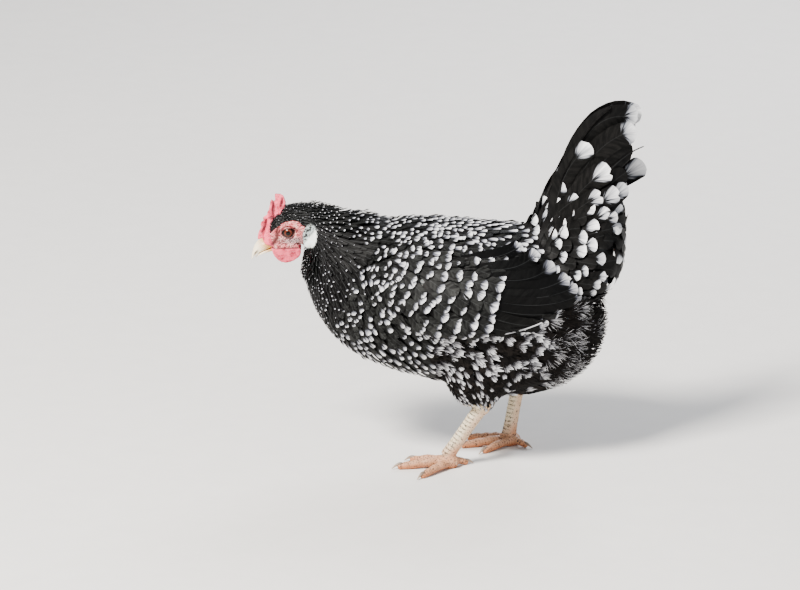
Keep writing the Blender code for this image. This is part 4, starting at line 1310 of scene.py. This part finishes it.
mainTail = {  # the folded fan: places from root to tip, half width, white depth, how deep it lies
    "front": (((108, 222), (119, 295), (140, 344), (164, 373), (183, 377), (197, 366)), 11.0, 15, 2.0),
    "second": (((110, 222), (127, 290), (151, 332), (173, 354), (193, 360)), 11.5, 13, 4.5),
    "third": (((112, 222), (136, 290), (163, 330), (187, 349)), 10.0, 0, 6.5),
    "fourth": (((114, 220), (143, 288), (168, 322), (191, 338)), 9.0, 0, 7.5),
    "fifth": (((116, 218), (148, 280), (168, 304), (184, 316)), 9.5, 0, 8.0),
    "sixth": (((118, 214), (150, 264), (168, 287), (184, 302)), 9.5, 15, 8.5),
    "seventh": (((118, 210), (146, 248), (166, 265), (183, 275)), 9.0, 15, 9.0),
}
tailDrapes = {  # the largest coverts, over the fan
    "edgeLow": (((88, 243), (96, 262), (104, 277), (113.5, 290)), 5.5, 11, 0.5),
    "edgeHigh": (((88, 245), (97, 275), (107, 298), (119, 315)), 5.0, 9, 0.5),
    "frontFan": (((100, 235), (112, 285), (127, 322), (148, 345)), 9.0, 20, -1.5),
    "highFan": (((105, 235), (122, 275), (142, 303), (168, 322)), 10.5, 20, -1.0),
    "midFan": (((108, 232), (128, 262), (152, 284), (178, 297)), 9.0, 17, -0.5),
    "innerFan": (((100, 235), (118, 262), (138, 283), (159, 296)), 8.5, 15, -2.0),
    "lowFan": (((92, 238), (105, 262), (119, 279), (136, 291)), 7.5, 13, -2.0),
}
middleTail = {  # feathers flat across the tail's fold: places, y, half width, white depth
    "lowRidge": (((88, 250), (97, 270), (108, 292), (120, 318)), 0.0, 11.0, 9),
    "nearRidge": (((98, 268), (110, 298), (123, 325), (138, 349)), -3.5, 8.5, 0),
    "farRidge": (((100, 272), (112, 300), (126, 328), (142, 354)), 3.5, 8.5, 0),
    "highRidge": (((110, 292), (125, 327), (146, 361), (172, 381)), 0.0, 6.5, 0),
    "firstInner": (((112, 245), (130, 298), (152, 338), (182, 358)), 0.0, 12.0, 0),
    "secondInner": (((118, 240), (138, 282), (158, 308), (178, 326)), 0.0, 16.0, 0),
    "thirdInner": (((122, 232), (144, 264), (160, 282), (172, 298)), 0.0, 18.0, 0),
    "fourthInner": (((124, 222), (146, 244), (160, 258), (170, 272)), 0.0, 20.0, 0),
}
tailQuillLook = {"rows": 20, "columns": 11, "sink": 5.0, "blunt": 0.85, "lift": 0.2, "cup": 0.12,
                 "stray": 0.1, "roll": 0.03, "notch": 0.35, "notched": 0.5, "fray": 0.025, "ruffle": 0.01,
                 "shaft": 0.4, "sheenShare": (0.2, 0.7), "grey": 0.2, "clefts": 0.1}
drapeLook = dict(tailQuillLook, rows=14, blunt=0.95, sink=4.0, lift=0.8, taper=-0.2, crescent=0.1,
                 grey=0.1, spread=1.0)
middleLook = dict(tailQuillLook, sink=3.0, lift=0.0, cup=0.5, taper=-0.05, roll=0.02, notch=0.3,
                  notched=0.4, fray=0.02, shaft=0.35, crescent=0.2, sheenShare=(0.2, 0.6), grey=0.15, spread=1.0)
lastQuills = {  # one more on each side, not alike: a feather, its taper
    "left": ((((118, 240), (150, 300), (180, 330), (204, 342)), 2.6, 0, 3.5), 0.75),  # narrow, alone
    "right": ((((118, 220), (148, 266), (175, 294), (205, 316)), 9.5, 24, -2.0), -0.2),
}


def makeMiddleTail(seed):
    rows = 14
    curves, sideways, halves, whites = zip(*middleTail.values())
    line, normals = np.empty((len(curves), rows, 3)), np.empty((len(curves), rows, 3))
    for i, (curve, y) in enumerate(zip(curves, sideways)):
        x, z = alongCurve(curve, rows)
        line[i] = np.stack([x, np.full(rows, y), z], axis=1)
        way = unit(np.gradient(line[i], axis=0))
        normals[i] = np.stack([-way[:, 2], 0 * x, way[:, 0]], axis=1)
    look = dict(middleLook, length=np.linalg.norm(np.diff(line, axis=1), axis=2).sum(axis=1), half=halves,
                round=np.array(halves) * 0.9)
    layVanes("tailMiddle", line, normals, look, np.array(whites, dtype=float), np.random.default_rng(seed),
             tailBlack)


def makeTail(sideName, side, seed):
    last, lastTaper = lastQuills[sideName]
    look = dict(tailQuillLook, spread=[1.6, 1.25] + [1.0] * 6, taper=[-0.1] * 7 + [lastTaper])
    made = layAlong(f"tailQuills_{sideName}", [*mainTail.values(), last], look, seed, tailBlack, side)
    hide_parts("tail_fan")
    layAlong(f"tailDrapes_{sideName}", tailDrapes.values(), drapeLook, seed + 1, tailBlack, side)


for number, (sideName, side) in enumerate(sides.items()):
    makeTail(sideName, side, 51 + 5 * number)
makeMiddleTail(65)
print("wings and tail done")


def hornMaterial(name, rootHex, tipHex, darkHex, gloss):
    # Pale keratin sheath over bone: smooth and waxy, faintly see-through, with darker growth streaks; on
    # the beak the same dark paints shade in the nostril's hollow.
    made, add = emptyMaterial(name)
    place = add("TexCoord").outputs["Object"]
    run = add("Attribute", attribute_name="run").outputs["Vector"]
    along, streakAndShade, _ = add("SeparateXYZ", run).outputs
    grain = add("TexNoise", place, 420.0, 4.0, 0.6)
    base = add("Mix", along, rootHex, tipHex)
    streak = add("Math", streakAndShade, grain, operation="MULTIPLY")
    streakMask = add("MapRange", streak, 0.12, 0.75, 0.0, 0.92)
    colour = add("Mix", streakMask, base, darkHex)
    bump = add("Bump", links={"Strength": 0.2, "Distance": 0.0002, "Height": grain})
    rough = add("MapRange", grain, 0.3, 0.7, gloss, gloss + 0.12)
    shader = add("BsdfPrincipled", links={
        "Base Color": colour, "Roughness": rough, "Normal": bump, "IOR": 1.55, "Subsurface Weight": 0.06,
        "Subsurface Radius": (1.0, 0.7, 0.4), "Subsurface Scale": 0.001})
    add("OutputMaterial", shader)
    return made


beakLook = {"root": -20.0, "tip": -48.8, "rise": 4.4, "hook": 17.0, "chin": -13.6, "rings": 44,
            "around": 36}


def hump(value, middle, width):  # 1 at the middle, falling to 0 on both sides
    return math.exp(-(((value - middle) / width) ** 2))


def tubeFaces(first, rings, around):  # quads between rings of points
    faces = []
    for start in range(first, first + (rings - 1) * around, around):
        for j in range(around):
            a, b = start + j, start + (j + 1) % around
            faces.append((a, b, b + around, a + around))
    return faces


def beakPoint(half, t, turn):  # a place on the beak in the head's forward, side and up millimetres
    look = beakLook
    mouth = -9.6 + 1.0 * t - 5.0 * t**5
    s, c = math.sin(turn), math.cos(turn)
    if half == "upper":
        top, bottom = look["rise"] - look["hook"] * t**3.1, mouth - 0.4 * (1 - t)
        width, tip, square = 9.2, look["tip"], -c
    else:
        top, bottom = mouth - 0.3, look["chin"] + 1.4 * t
        width, tip, square = 8.6, look["tip"] + 4.8, c
    wide = width * (1 - 0.5 * t) * math.sqrt(max(1 - t**3.2, 0.0))
    full = math.copysign((1 - square**5) ** 0.4, s) if square > 0 else s  # square at the mouth's edge
    side = wide * full
    if half == "upper":
        nostril = hump(t, 0.27, 0.10) * hump(c, 0.30, 0.22)
        flap = hump(t, 0.26, 0.13) * hump(c, 0.62, 0.16)
        ridge = 1 - 0.42 * max(c, 0.0) ** 1.3
        side *= ridge * (1 - 0.22 * nostril + 0.10 * flap)
    up = (top + bottom) / 2 + (top - bottom) / 2 * c
    return -(look["root"] + (tip - look["root"]) * t), side, up


def makeBeak(half, material):
    look = beakLook
    points, run = [], []
    for i in range(look["rings"]):
        t = 1 - (1 - i / (look["rings"] - 1) * 0.996) ** 1.15
        for j in range(look["around"]):
            turn = math.tau * j / look["around"]
            forward, side, up = beakPoint(half, t, turn)
            points.append(headPlace + headForward * forward + headUp * up + np.array([0, side, 0]))
            c = math.cos(turn)
            streak = hump(c, -0.35, 0.26) * hump(t, 0.74, 0.14)  # brown, near the tip's cutting edge
            # Darker round the nostril: painted shade in its hollow.
            nostrilShade = 0.9 * hump(t, 0.27, 0.06) * hump(c, 0.30, 0.13)
            dark = streak * 1.9 + nostrilShade if half == "upper" else streak * 0.3
            run.append((ease(0.2, 0.66, t), dark, c))
    made = meshObject(f"beak_{half}_horn", points, tubeFaces(0, look["rings"], look["around"]), material)
    setAttribute(made.data, "run", run)
    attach(made, "root")
    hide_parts(f"beak_{half}")


beakHorn = hornMaterial("paleBeakKeratin", "#c08a3c", "#ffefd0", "#3c220c", 0.34)
for half in ("upper", "lower"):
    makeBeak(half, beakHorn)


clawLook = {"thick": {"hallux": 3.8, "inner": 4.1, "middle": 4.5, "outer": 4.1}, "reach": 11.5, "rings": 16,
            "around": 14, "half": 2.5}


def makeClaws(material):  # short curved cones that leave the toes' ends and bend down to the floor
    look = clawLook
    rings, count = look["rings"], look["around"]
    points, faces, run, names = [], [], [], []
    for sideName, toe in itertools.product(sides, toeLengths):
        names.append(f"claw_{sideName}_{toe}")
        root, ahead = toeFrame(sideName, toe)
        thick = look["thick"][toe]
        first = len(points)
        for i in range(rings):
            t = i / (rings - 1)
            middle = root + ahead * (toeLengths[toe] - 2.0 + look["reach"] * t)
            rise = thick * 1.05
            height = rise + 1.3 * math.sin(math.pi * min(t + 0.1, 1)) - (rise - 1.0) * t**2.2
            half = look["half"] * (1 - 0.94 * t) ** 0.62
            for j in range(count):
                angle = math.tau * j / count
                off = ahead[::-1] * np.array([-1, 1]) * half * 0.8 * math.cos(angle)
                points.append((*(middle + off), max(height + half * math.sin(angle) * 0.95, 0.05)))
                run.append((t, 0.35 * (math.sin(angle) > 0.4), math.sin(angle)))
        faces += tubeFaces(first, rings, count)
        last = len(points) - count
        for k in range(count // 2 - 1):  # the two ends
            strip = (k, k + 1, count - 2 - k, count - 1 - k)
            faces.append(tuple(first + j for j in strip[::-1]))
            faces.append(tuple(last + j for j in strip))
    made = meshObject("claws", points, faces, material)
    setAttribute(made.data, "run", run)
    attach(made, "root")
    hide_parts(*names)


makeClaws(hornMaterial("clawKeratin", "#6b5546", "#a4907c", "#32261f", 0.38))


def eyeMaterial():
    # A living eye: orange-brown iris with fine radial fibres round a black pupil, under a wet clear cornea.
    made, add = emptyMaterial("wetAmberEye")
    ring = add("Attribute", attribute_name="ring").outputs["Vector"]
    off = add("SeparateXYZ", ring).outputs[0]
    spoke = add("VectorMath", ring, (0.35, 7.0, 7.0), operation="MULTIPLY")
    fibre = add("TexNoise", spoke, 1.4, 3.0)
    iris = add("Mix", fibre, "#240805", "#78341e")
    pupil = add("MapRange", off, 2.3, 2.65, 1.0, 0.0)
    rim = add("MapRange", off, 3.6, 4.5)
    dark = add("Mix", rim, iris, "#0c0504")
    colour = add("Mix", pupil, dark, "#020202")
    shader = add("BsdfPrincipled", links={
        "Base Color": colour, "Roughness": 0.3, "IOR": 1.376, "Specular IOR Level": 0.2, "Coat Weight": 0.3,
        "Coat Roughness": 0.03, "Coat IOR": 1.376})
    add("OutputMaterial", shader)
    return made


def makeEye(sideName, side, material):
    look = ballLook
    shape = bmesh.new()
    bmesh.ops.create_uvsphere(shape, u_segments=48, v_segments=40, radius=look["radius"])
    rings = []
    for vertex in shape.verts:
        x, y, z = vertex.co
        off = math.hypot(x, y)
        bulge = 0.35 * math.exp(-(off / 3.2) ** 2) if z > 0 else 0.0  # the cornea
        outward = side * (z + bulge + look["spread"])
        vertex.co = Vector((x, outward, y)) + Vector((headPlace[0], 0, headPlace[2]))
        vertex.co = (vertex.co + Vector(toModel)) * mm
        turn = math.atan2(y, x)
        rings.append((off if z > 0 else 9.0, math.cos(turn), math.sin(turn)))
    bmesh.ops.recalc_face_normals(shape, faces=shape.faces)
    made = formObject(f"eyeball_{sideName}", shape)
    made.data.shade_smooth()
    made.data.materials.append(material)
    setAttribute(made.data, "ring", rings)
    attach(made, "root")
    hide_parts(f"eye_{sideName}")


wetEye = eyeMaterial()
for sideName, side in sides.items():
    makeEye(sideName, side, wetEye)
print("eyes, beak and claws made")
